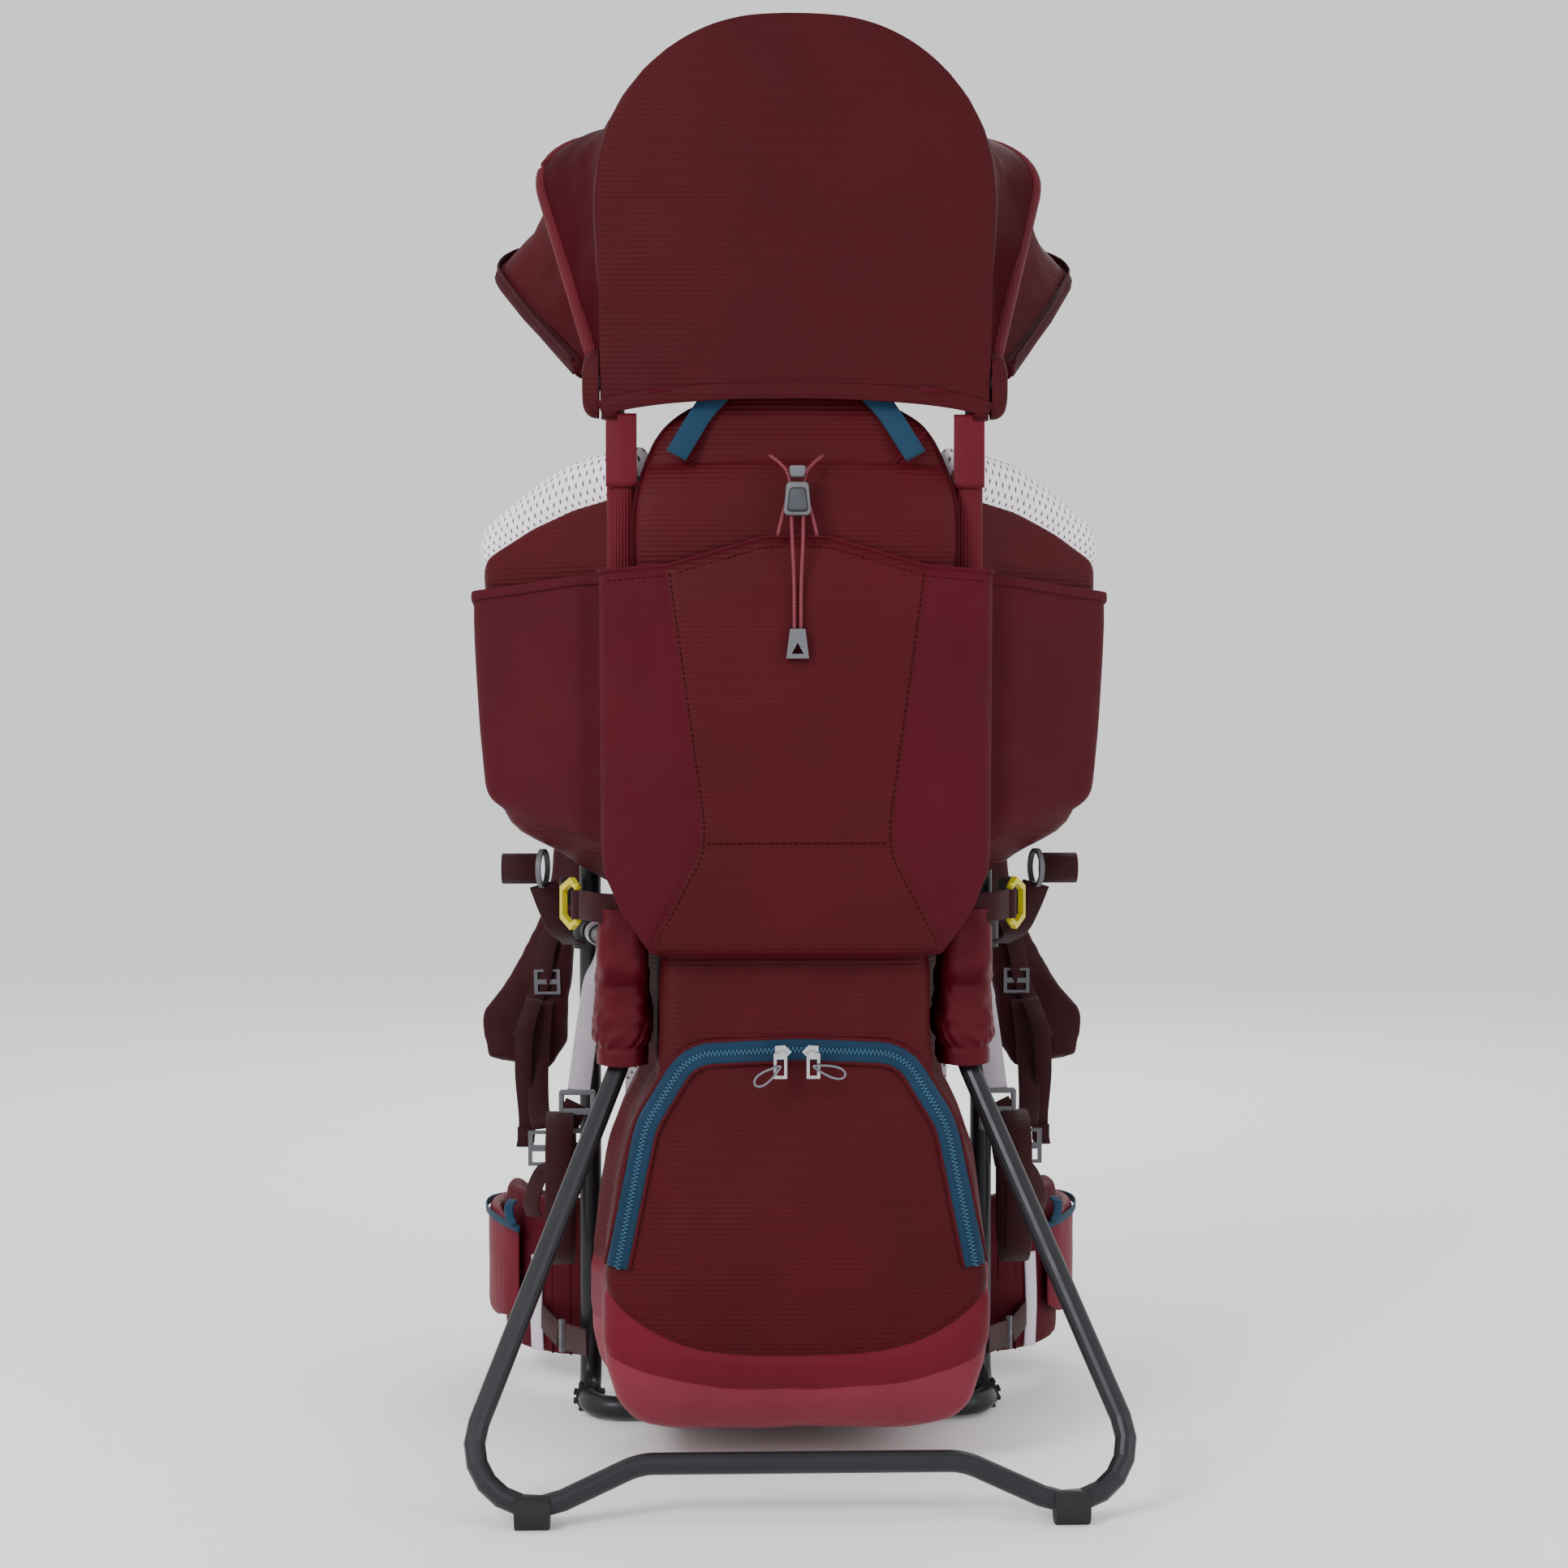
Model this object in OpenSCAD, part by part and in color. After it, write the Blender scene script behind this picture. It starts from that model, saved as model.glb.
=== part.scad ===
/* [Main frame] */
// Outside diameter of the main frame tube
tube_d = 16; // [15:0.5:17]
// Half the distance between the main frame's side tubes
frame_half = 146; // [145:0.5:147]
// Height of the main frame's top tube
frame_top = 670; // [660:2:680]
// Height at which the side arms leave the main frame
arm_z = 352; // [350:0.5:354]
// Diameter of the side arms
arm_d = 13; // [12:0.5:14]
// Diameter of the rear uprights that hold the canopy
upright_d = 12; // [11.5:0.5:13]
// Height of the rear uprights' open tops
upright_top = 690; // [680:2:694]

/* [Kickstand] */
// Diameter of the kickstand tube
stand_d = 14; // [13:0.5:15]
// Angle of the open kickstand from vertical
stand_tilt = 30.8; // [30.4:0.1:31.2]
// Distance from the pivot to the middle of the tube at the feet
stand_reach = 361; // [359:0.5:363]
// How far the kickstand's middle stretch is raised towards the pivot
stand_rise = 30; // [26:1:32]
// Radius of the hinge pins
pin_r = 4; // [3.5:0.1:4.5]
// Running clearance round a hinge pin
pin_gap = 0.05; // [0.02:0.01:0.1]

/* [Canopy] */
// Height of the canopy's two hubs
hub_z = 735; // [733:0.5:737]
// Tilt of the middle hoop from vertical
mid_tilt = 37; // [34:1:40]
// Tilt of the front hoop from vertical
front_tilt = 64; // [60:1:66]
// Diameter of the rear rod
rod_d = 8; // [7:0.5:8.6]
// Diameter of the two folding hoops
hoop_d = 6; // [5:0.5:7]
// Thickness of the canopy's fabric
cloth_t = 2; // [1.5:0.25:2.5]

/* [Bags] */
// Wall thickness of the child's cabin
cabin_wall = 12; // [10:1:14]
// Thickness of a filled side pocket
pocket_t = 9; // [6:1:12]
// Thickness of the front stuff pocket
stuff_t = 21; // [16:1:22]
// Thickness of webbing
webbing_t = 1.6; // [1.2:0.1:2]

/* [Carrying system] */
// Thickness of the shoulder straps' padding
strap_t = 14; // [10:1:16]
// Thickness of the hip fins
fin_t = 16; // [12:1:17]
// Radius of a hip fin's curve, at the middle of its thickness
fin_r = 80; // [78:1:82]
// Y of the front of the belt buckle
buckle_front = 264.2; // [264:0.1:264.5]

/* [Hidden] */

burgundy = [0.31, 0.11, 0.14];
side_burgundy = [0.35, 0.14, 0.18];
red_burgundy = [0.45, 0.15, 0.2];
strap_burgundy = [0.24, 0.1, 0.13];
lilac = [0.77, 0.72, 0.75];
tube_grey = [0.34, 0.34, 0.36];
plastic_grey = [0.42, 0.42, 0.44];
black_plastic = [0.1, 0.1, 0.1];
zip_blue = [0.16, 0.26, 0.35];
lime = [0.71, 0.66, 0.1];
bright_metal = [0.75, 0.75, 0.76];
light_webbing = [0.72, 0.68, 0.7];

X_AXIS = [1, 0, 0];
Y_AXIS = [0, 1, 0];
Z_AXIS = [0, 0, 1];
ROUND = 32;             // facets of an exact round
base_y = -8;            // Y of the rear cross tube
base_z = 10;            // height of the tubes that lie on the ground
frame_y = 56;           // Y of the main frame's upright stretches
back_bend = 24;         // bend between the base and the upright stretches
base_bend = 26;         // bend at the base's rear corners
top_bend = 60;          // bend at the frame's shoulders
upright_x = 117;
upright_y = -118;
pivot_x = 118;          // X of the kickstand's hinge eyes
pivot_y = -69;
pivot_z = 320;
hub_x = 122;             // X of the rear rod where the canopy's hubs grip it
mid_eye_x = 130.4;       // X of the folding hoops' eyes
front_eye_x = 137;
hub_y = -125;
rear_tilt = -3.6;       // the rear hoop leans back a little
arm_run = [upright_x - frame_half, upright_y - frame_y, 0];
arm_angle = atan2(arm_run.y, arm_run.x);
arm_gap = 14;           // how far an arm's ends stop short of the tubes that it joins

// ---------------------------------------------------------------- helpers

function unit(v) = v / norm(v);
function turn(a, b, phi, t) = (sin((1 - t) * phi) * a + sin(t * phi) * b) / sin(phi);

// Points of the arc of radius r that rounds the corner b between a and c
function corner(a, b, c, r, n) =
    let (u = unit(a - b), w = unit(c - b), open = acos(u * w))
    let (middle = b + unit(u + w) * r / sin(open / 2), reach = r / tan(open / 2))
    let (from = b + u * reach - middle, to = b + w * reach - middle)
    [for (i = [0:n]) middle + turn(from, to, 180 - open, i / n)];

// An open path through its corner points, each rounded by its own radius
function rounded_path(pts, radii, n = 5) = [
    pts[0],
    for (i = [1:len(pts) - 2]) each corner(pts[i - 1], pts[i], pts[i + 1], radii[i - 1], n),
    pts[len(pts) - 1]
];

// A closed outline through its corner points, all rounded alike
function rounded_outline(pts, r, n = 3) =
    let (m = len(pts))
    [for (i = [0:m - 1]) each corner(pts[(i + m - 1) % m], pts[i], pts[(i + 1) % m], r, n)];

// Half an outline and its mirror image across X = 0
function both_halves(half) =
    concat(half, [for (i = [len(half) - 1:-1:0]) [-half[i].x, half[i].y]]);

function flip(path) = [for (i = [len(path) - 1:-1:0]) [-path[i].x, path[i].y, path[i].z]];

function heading(path, i) = unit(path[min(i + 1, len(path) - 1)] - path[max(i - 1, 0)]);

// A rounded rectangle's outline round its own centre
function pad_outline(w, h, r) =
    rounded_outline([[w / 2, -h / 2], [w / 2, h / 2], [-w / 2, h / 2], [-w / 2, -h / 2]], r, 2);

// One closed solid through rings of points that run anticlockwise about its path
module skin(rings) {
    n = len(rings[0]);
    last = len(rings) - 1;
    polyhedron(
        points = [for (ring = rings) each ring],
        faces = concat(
            [[for (k = [0:n - 1]) k]],
            [[for (k = [n - 1:-1:0]) last * n + k]],
            [for (i = [0:last - 1], k = [0:n - 1]) each [
                [i * n + k, (i + 1) * n + k, (i + 1) * n + (k + 1) % n],
                [i * n + k, (i + 1) * n + (k + 1) % n, i * n + (k + 1) % n]
            ]]
        )
    );
}

// A round tube along a path; no stretch of the path runs along side
module swept_rod(path, d, side = Y_AXIS, sides = 14) {
    skin([for (i = [0:len(path) - 1])
        let (t = heading(path, i), a = unit(side - (side * t) * t), b = cross(t, a))
        [for (k = [0:sides - 1])
            let (angle = 360 * (k + 0.5) / sides)
            path[i] + d / 2 * (cos(angle) * a + sin(angle) * b)]
    ]);
}

// A flat strap along a path: one width for each point, and the direction of its width
module ribbon(path, widths, across, t) {
    skin([for (i = [0:len(path) - 1])
        let (run = heading(path, i), side = is_list(across[0]) ? across[i] : across)
        let (a = unit(side - (side * run) * run), b = cross(run, a))
        let (w = is_list(widths) ? widths[i] / 2 : widths / 2, h = t / 2)
        [path[i] + a * w - b * h, path[i] + a * w + b * h,
         path[i] - a * w + b * h, path[i] - a * w - b * h]
    ]);
}

// A padded strap: as a ribbon, with a rounded section
module padded_strap(path, widths, across, t) {
    skin([for (i = [0:len(path) - 1])
        let (run = heading(path, i), a = unit(across[i] - (across[i] * run) * run))
        let (b = cross(run, a))
        [for (p = pad_outline(widths[i], t, t * 0.45)) path[i] + a * p.x + b * p.y]
    ]);
}

// Horizontal outlines, one for each height
module loft(levels, r) {
    skin([for (level = levels)
        [for (p = rounded_outline(both_halves(level[1]), r)) [p.x, p.y, level[0]]]]);
}

module both_sides() {
    children();
    mirror(X_AXIS) children();
}

// A box with its four upright edges rounded, centred in X
module soft_box(w, y0, y1, z0, z1, r) {
    translate([0, (y0 + y1) / 2, z0]) linear_extrude(z1 - z0) {
        square([w - 2 * r, y1 - y0], center = true);
        square([w, y1 - y0 - 2 * r], center = true);
        for (sx = [-1, 1], sy = [-1, 1])
            translate([sx * (w / 2 - r), sy * ((y1 - y0) / 2 - r)]) circle(r, $fn = ROUND);
    }
}

// A rod bent in steps: straight length, turn about itself, bend angle, bend radius
module bent_rod(steps, d, i = 0) {
    cylinder(d = d, h = steps[i][0], $fn = ROUND);
    if (i < len(steps) - 1)
        translate([0, 0, steps[i][0]]) rotate([0, 0, steps[i][1]]) {
            translate([steps[i][3], 0, 0]) rotate([90, 0, 180])
                rotate_extrude(angle = steps[i][2], $fn = 2 * ROUND)
                translate([steps[i][3], 0]) circle(d = d, $fn = ROUND);
            translate([steps[i][3], 0, 0]) rotate([0, steps[i][2], 0])
                translate([-steps[i][3], 0, 0]) bent_rod(steps, d, i + 1);
        }
}

// A flat buckle frame with one bar across it, standing in the XZ plane
module ladder_lock(w, h, t, rim = 3) {
    rotate([90, 0, 0]) linear_extrude(t, center = true) difference() {
        square([w, h], center = true);
        for (s = [-1, 1])
            translate([0, s * h / 4]) square([w - 2 * rim, h / 2 - 1.5 * rim], center = true);
    }
}

// ---------------------------------------------------------------- main frame

module main_frame_tube() {
    side = frame_top - top_bend - base_z - back_bend;
    foot = frame_y - back_bend - base_y - base_bend;
    half_top = frame_half - top_bend;
    color(tube_grey) translate([0, frame_y, frame_top]) rotate([0, 90, 0]) bent_rod([
        [half_top, 0, 90, top_bend],
        [side, -90, 90, back_bend],
        [foot, 90, 90, base_bend],
        [2 * (frame_half - base_bend), 0, 90, base_bend],
        [foot, -90, 90, back_bend],
        [side, 90, 90, top_bend],
        [half_top, 0, 0, 0]
    ], tube_d);
}

module along_arm(from) {
    translate([frame_half, frame_y, arm_z]) rotate([0, 0, arm_angle]) rotate([0, 90, 0])
        translate([0, 0, from]) children();
}

module side_arms() {
    color(tube_grey) both_sides() along_arm(arm_gap)
        cylinder(d = arm_d, h = norm(arm_run) - 2 * arm_gap, $fn = ROUND);
}

module rear_uprights() {
    bore_r = rod_d / 2 + 0.5;
    color(tube_grey) both_sides() translate([upright_x, upright_y, arm_z + 8]) difference() {
        cylinder(d = upright_d, h = upright_top - arm_z - 8, $fn = ROUND);
        translate([0, 0, 255]) cylinder(r = bore_r, h = 200, $fn = ROUND);
    }
}

// The clamps at both ends of each side arm, and the forks that hold the kickstand's pins
module frame_brackets() {
    fit = 0.02;
    fork_half = 15;
    fork_gap = 10.3;
    color(black_plastic) both_sides() difference() {
        union() {
            translate([frame_half, frame_y, arm_z - 14]) cylinder(r = 13, h = 28, $fn = ROUND);
            translate([upright_x, upright_y, arm_z - 12]) cylinder(r = 11, h = 34, $fn = ROUND);
            along_arm(6) cylinder(r = 9, h = 18, $fn = ROUND);
            along_arm(norm(arm_run) - 24) cylinder(r = 9, h = 16, $fn = ROUND);
            translate([pivot_x - fork_half, pivot_y - 13, pivot_z - 13])
                cube([2 * fork_half, 26, arm_z - pivot_z + 15]);
        }
        translate([pivot_x - fork_gap, pivot_y - 40, pivot_z - 20])
            cube([2 * fork_gap, 80, 33]);
        translate([frame_half, frame_y, arm_z - 40])
            cylinder(r = tube_d / 2 + fit, h = 80, $fn = ROUND);
        translate([upright_x, upright_y, arm_z + 8 - fit])
            cylinder(r = upright_d / 2 + fit, h = 40, $fn = ROUND);
        along_arm(arm_gap - fit)
            cylinder(r = arm_d / 2 + fit, h = norm(arm_run) - 2 * (arm_gap - fit), $fn = ROUND);
        translate([0, pivot_y, pivot_z]) rotate([0, 90, 0])
            cylinder(r = pin_r + fit, h = 300, $fn = ROUND);
    }
}

module pivot_pins() {
    color(bright_metal) both_sides() translate([pivot_x - 15.8, pivot_y, pivot_z])
        rotate([0, 90, 0]) {
            cylinder(r = pin_r, h = 31.6, $fn = ROUND);
            translate([0, 0, -1]) cylinder(r = pin_r + 2, h = 1.8, $fn = ROUND);
        }
}

// Clip-on pads under the rear cross tube, flat where they meet the ground
module base_pads() {
    color(black_plastic) both_sides() translate([88, base_y, base_z]) difference() {
        union() {
            rotate([0, 90, 0]) cylinder(r = tube_d / 2 + 2.6, h = 18, center = true, $fn = ROUND);
            translate([-9, -8, -base_z]) cube([18, 16, 6]);
        }
        rotate([0, 90, 0]) cylinder(r = tube_d / 2 + 0.02, h = 60, center = true, $fn = ROUND);
        translate([-20, -20, -base_z - 20]) cube([40, 40, 20]);
    }
}

// Toothed rubber rings on the base's side tubes
module corner_pads() {
    teeth = 10;
    color(black_plastic) both_sides() translate([frame_half, 25, base_z]) difference() {
        rotate([90, 0, 0]) union() {
            cylinder(r = tube_d / 2 + 1.8, h = 12, center = true, $fn = ROUND);
            for (k = [0:teeth - 1]) rotate([0, 0, (k + 0.5) * 360 / teeth])
                translate([tube_d / 2 + 2.3, 0, 0]) cube([3.2, 2.4, 10], center = true);
        }
        rotate([90, 0, 0]) cylinder(r = tube_d / 2 + 0.02, h = 40, center = true, $fn = ROUND);
        translate([-20, -20, -base_z - 20]) cube([40, 40, 20]);
    }
}

// ---------------------------------------------------------------- back system

module back_pads() {
    color(lilac) union() {
        soft_box(256, 46.5, 61, 124, 640, 6);
        both_sides() translate([57, 0, 0]) soft_box(70, 60.5, 76, 150, 545, 7);
    }
}

module lumbar_pad() {
    color(lilac) soft_box(264, 62.5, 82, 8, 120, 9);
}

// ---------------------------------------------------------------- child's cabin

// Half the cabin's outline, rear corner first
function cabin_half(rear_half, side_half, grow = 0) = [
    [rear_half + grow * 0.6, -108 - grow], [side_half + grow, -34 - grow * 0.4],
    [side_half + grow, 22], [side_half - 26 + grow, 44]
];

CABIN_LEVELS = [
    [392, 92, 128], [404, 106, 150], [417, 112, 168], [430, 115, 200], [450, 116, 207],
    [500, 117, 212], [560, 118, 216], [640, 118, 219], [720, 118, 221]
];

module cabin_body(grow, lift = 0) {
    loft([for (level = CABIN_LEVELS)
        [level[0] + lift, cabin_half(level[1], level[2], grow)]], 13);
}

// A slab seen from the side, wider than the cabin
module side_profile(points) {
    rotate([90, 0, 90]) linear_extrude(600, center = true) polygon(points);
}

RIM_LOW = [[-160, 690], [-110, 662], [-80, 653], [-60, 641], [-42, 628], [-20, 611],
           [0, 600], [80, 590]];
RIM_HIGH = [[80, 610], [0, 622], [-20, 634], [-42, 652], [-60, 670], [-80, 685],
            [-110, 694], [-160, 716]];

module cabin_shell() {
    color(burgundy) difference() {
        cabin_body(0);
        cabin_body(-cabin_wall, cabin_wall);
        side_profile(concat(RIM_LOW, [[80, 900], [-160, 900]]));
        both_sides() translate([98, 4, 408]) cube([150, 80, 78]);
    }
}

// The padded mesh rim, which is also the top of the cabin's lining
module cabin_rim() {
    raise = 0.4;
    color(lilac) difference() {
        intersection() {
            cabin_body(1.5);
            side_profile([for (p = concat(RIM_LOW, RIM_HIGH)) [p.x, p.y + raise]]);
        }
        cabin_body(-cabin_wall, -30);
        translate([-101, -112, 640]) cube([202, 22, 100]);
    }
}

module drool_pad() {
    color(lilac) soft_box(150, 18, 30, 560, 632, 5);
}

// A flat pocket that wraps one side of the cabin
module side_pocket() {
    lower = [[-140, 404], [-120, 412], [-60, 424], [-12, 440], [0, 492], [60, 500]];
    color(side_burgundy) difference() {
        intersection() {
            cabin_body(pocket_t);
            side_profile(concat(lower, [[60, 588], [0, 594], [-60, 600], [-140, 612]]));
            translate([128.6, -140, 380]) cube([160, 182, 260]);
        }
        cabin_body(0.4);
    }
}

module side_pocket_right() { side_pocket(); }
module side_pocket_left() { mirror(X_AXIS) side_pocket(); }

// The padded rear wall, drawn in at its top
module backrest_panel() {
    color(burgundy) skin([for (level = [
            [396, 96, -139.5, -127.5], [420, 104, -140, -127.5], [560, 105, -140, -127.5],
            [670, 104, -140, -127.5], [690, 98, -131, -119], [705, 90, -126.5, -117],
            [718, 74, -124, -116], [727, 50, -122, -116]])
        [for (p = rounded_outline(both_halves(
            [[level[1], level[2]], [level[1], level[3]]]), 3)) [p.x, p.y, level[0]]]]);
}

// Fabric channels that the rear uprights run in
module rod_channels() {
    color(red_burgundy) both_sides() translate([upright_x, upright_y - 0.5, 420]) difference() {
        soft_box(21, -10, 8.5, 0, 262, 6);
        translate([0, 0.5, -5]) cylinder(d = upright_d + 0.8, h = 300, $fn = ROUND);
    }
}

module stuff_pocket() {
    half = [[0, 347], [97, 349], [130, 386], [132, 607], [86, 611], [22, 631]];
    color(side_burgundy) translate([0, -141, 0]) rotate([90, 0, 0]) linear_extrude(stuff_t)
        polygon(concat(half, [for (i = [5:-1:1]) [-half[i].x, half[i].y]]));
}

module grab_handle() {
    half = [[80, -141, 684], [64, -128.5, 712], [26, -120.5, 764]];
    path = rounded_path(concat(half, flip(half)), [40, 30, 30, 40], 6);
    color(zip_blue) ribbon(path, 24,
        [for (p = path) unit([p.x / 90, 0, 0.3 + 0.7 * (p.z - 684) / 80])], webbing_t);
}

// ---------------------------------------------------------------- lower bag

// Height, half width at the rear, half width at the wearer's side, rear Y
BAG_LEVELS = [
    [25, 84, 96, -118], [32, 108, 122, -134], [46, 122, 136, -144], [80, 130, 144, -149],
    [120, 131, 144, -150], [160, 127, 139, -149], [200, 115, 131, -146], [236, 101, 118, -142],
    [262, 93, 94, -139], [300, 92, 93, -136], [340, 92, 93, -133], [384, 88, 90, -128]
];

module lower_bag() {
    front_y = 40;
    color(burgundy) skin([for (level = BAG_LEVELS)
        [for (p = rounded_outline(both_halves([
            [level[1], level[3]], [level[2], -26], [level[2], front_y]]), 12)) [p.x, p.y, level[0]]]]);
}

// Zip tape round the bag's front flap: up one side, across and down the other
module bag_zip_tape() {
    path = rounded_path([[-126, -152, 142], [-103, -149, 238], [-74, -146.5, 283], [0, -146, 286],
                         [74, -146.5, 283], [103, -149, 238], [126, -152, 142]], [60, 30, 60, 30, 60], 4);
    color(zip_blue) ribbon(path, 13, [for (p = path) cross(Y_AXIS, unit([0.01, 0, 1]))], 1.5);
}

// ---------------------------------------------------------------- straps and locks on the frame

function swing(a, r) = [132 + r * cos(a), 163 + r * sin(a)];

// One hip fin, tapering as it curves forward
module hip_fin() {
    color(side_burgundy) skin([for (a = [-88:11:88])
        let (share = max(0, (a - 10) / 78), low = 22 + 44 * share, high = 150 - 44 * share)
        let (out = [cos(a), sin(a), 0], middle = swing(a, fin_r))
        [for (p = pad_outline(high - low, fin_t, 5))
            [middle.x, middle.y, (low + high) / 2] + Z_AXIS * p.x + out * p.y]
    ]);
}

module hip_fin_right() { hip_fin(); }
module hip_fin_left() { mirror(X_AXIS) hip_fin(); }

module hip_pockets() {
    inner = fin_r + fin_t / 2 + 0.4;
    color(red_burgundy) both_sides() skin([for (a = [-44:10:46])
        let (share = pow(abs(a - 1) / 47, 3), depth = 11.4 - 7 * share, half = 46 - 14 * share)
        let (out = [cos(a), sin(a), 0], middle = swing(a, inner + depth / 2))
        [for (p = pad_outline(2 * half, depth, depth * 0.4))
            [middle.x, middle.y, 88] + Z_AXIS * p.x + out * p.y]
    ]);
}

module child_harness() {
    color(black_plastic) both_sides()
        translate([34, 0, 0]) rotate([90, 0, 0]) translate([0, 0, 84.5])
            linear_extrude(8) polygon([[-16, 640], [16, 640], [12, 520], [-18, 505]]);
}

module harness_buckle() {
    color(black_plastic) translate([0, -84, 486]) difference() {
        cube([44, 14, 30], center = true);
        translate([0, -0.8, 0]) rotate([-90, 0, 0]) cylinder(r = 8, h = 10, $fn = ROUND);
    }
}

module harness_button() {
    color(lime) translate([0, -80.6, 486]) rotate([-90, 0, 0]) cylinder(r = 7.6, h = 6, $fn = ROUND);
}

module belt_webbing() {
    color(strap_burgundy) ribbon([[-140, 254.6, 86], [-100, 255.4, 86], [-39, 254, 86]],
        [36, 40, 40], Z_AXIS, webbing_t);
}

module belt_buckle_socket() {
    color(black_plastic) translate([-17, buckle_front - 7, 86]) difference() {
        rotate([90, 0, 0]) linear_extrude(14, center = true)
            polygon([[-21, -24], [21, -27], [21, 27], [-21, 24]]);
        translate([5, 0, 0]) cube([40, 9, 44], center = true);
    }
}

module belt_buckle_plug() {
    color(black_plastic) translate([0, buckle_front - 7, 86]) {
        translate([21, 0, 0]) cube([32, 14, 50], center = true);
        for (z = [-15, 0, 15]) translate([0, 0, z]) cube([22, 7, 8], center = true);
        translate([36.5, 0, 0]) rotate([90, 0, 0]) translate([0, 0, -1]) linear_extrude(2)
            polygon([[0, -20], [0, 20], [92, 18], [92, -18]]);
    }
}

// Webbing sewn to the bags and the frame: belt side straps, strap anchors, pocket loops
module frame_straps() {
    color(strap_burgundy) both_sides() {
        ribbon([[147, 12, 52], [158, 34, 50], [165, 49, 48]], 20, Z_AXIS, webbing_t);
        ribbon([[170, 57, 48], [182, 80, 54], [184.5, 89, 58]], 20, Z_AXIS, webbing_t);
        ribbon([[155.5, 56, 182], [165, 60, 184], [176, 62, 187]], 20, Z_AXIS, webbing_t);
        ribbon([[109, -130.5, 380], [132, -128, 381], [142, -120, 382], [146.5, -112, 382]],
            20, Z_AXIS, webbing_t);
        translate([148, -108.5, 372]) difference() {
            cylinder(r = 4.2, h = 20, $fn = ROUND);
            translate([0, 0, -1]) cylinder(r = 2.5, h = 22, $fn = ROUND);
        }
        ribbon([[157, -84, 382], [162, -50, 384], [164, 0, 384], [158, 50, 380]], 20, Z_AXIS, webbing_t);
        translate([192, -30, 402]) rotate([0, 90, 0]) difference() {
            cylinder(r = 11, h = 26, center = true, $fn = ROUND);
            cylinder(r = 9.2, h = 40, center = true, $fn = ROUND);
        }
        ribbon([[176, -30, 391], [170, -24, 372], [163, -6, 352], [158, 46, 342]],
            [20, 18, 12, 18], X_AXIS, webbing_t);
    }
}

// Grey rings under the side pockets, and the ladder locks of the belt and shoulder straps
module frame_strap_locks() {
    color(plastic_grey) both_sides() {
        translate([167.5, 53, 48]) rotate([0, 0, 68]) ladder_lock(5, 24, 3.4, 1.6);
        translate([182, 63, 187]) ladder_lock(22, 26, 4);
        translate([176, -30, 402]) rotate([0, 90, 12]) difference() {
            cylinder(r = 14, h = 3.4, center = true, $fn = ROUND);
            cylinder(r = 11.3, h = 10, center = true, $fn = ROUND);
        }
    }
}

// ---------------------------------------------------------------- rear details

// Fabric boots that hide the kickstand's hinges
module stand_boots() {
    color(red_burgundy) both_sides() translate([117, 0, 0]) difference() {
        soft_box(40, -116, -42, 272, 338, 9);
        soft_box(35, -112.5, -45.5, 265, 345, 7);
    }
}

CORD_D = 2.6;
CORD_TOP = 682;
CORD_LOCK_Z = 657;
CORD_LOCK_Y = -160;
CORD_END_Z = 566;
CORD_FRONT = -164.8;    // clear of the stuff pocket's face

module bungee_cord() {
    color(red_burgundy) both_sides() {
        swept_rod(rounded_path([[19, -142, CORD_TOP], [8, -152, 677], [4, -161, 669],
            [4, -161, 642], [3.2, CORD_FRONT, 626], [2.2, CORD_FRONT, CORD_END_Z]],
            [5, 5, 12, 12], 3), CORD_D, X_AXIS, 8);
        swept_rod(rounded_path([[15, -142, 677], [13.5, -153, 655], [14.5, CORD_FRONT, 634]],
            [12], 3), CORD_D, X_AXIS, 8);
    }
}

module cord_pull() {
    color(plastic_grey) translate([0, CORD_FRONT, 0]) difference() {
        rotate([90, 0, 0]) linear_extrude(5, center = true)
            polygon([[-5, 567.5], [5, 567.5], [7.5, 548], [-7.5, 548]]);
        rotate([90, 0, 0]) linear_extrude(12, center = true)
            polygon([[-4, 551], [4, 551], [0, 558.5]]);
        both_sides() translate([2.2, 0, 559]) cylinder(d = CORD_D + 0.2, h = 20, $fn = ROUND);
    }
}

module cord_lock_body() {
    color(plastic_grey) difference() {
        translate([0, CORD_LOCK_Y, CORD_LOCK_Z]) rotate([90, 0, 0]) linear_extrude(12, center = true)
            polygon([[-10, -15], [10, -15], [8.5, 10], [-8.5, 10]]);
        translate([0, CORD_LOCK_Y - 1, CORD_LOCK_Z]) cube([12.6, 7.2, 40], center = true);
    }
}

module cord_lock_button() {
    color(plastic_grey) translate([0, CORD_LOCK_Y - 1, CORD_LOCK_Z]) {
        translate([0, 0, 2]) cube([4.6, 6, 24], center = true);
        translate([0, 0, 15.5]) cube([5, 9, 3], center = true);
    }
}

module zip_slider() {
    color(bright_metal) translate([9, -149.6, 286]) {
        rotate([90, 0, 0]) linear_extrude(3.6, center = true)
            polygon([[-5.5, 0], [-1, 4.5], [5.5, 4], [5.5, -4], [-1, -4.5]]);
        translate([1, -3, -1]) cube([4, 3.4, 3], center = true);
        translate([2, -4, -9]) rotate([90, 0, 0]) linear_extrude(2, center = true) difference() {
            square([9, 17], center = true);
            translate([0, -1]) square([5, 11], center = true);
        }
    }
}

module zip_slider_right() { zip_slider(); }
module zip_slider_left() { mirror(X_AXIS) zip_slider(); }

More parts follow.
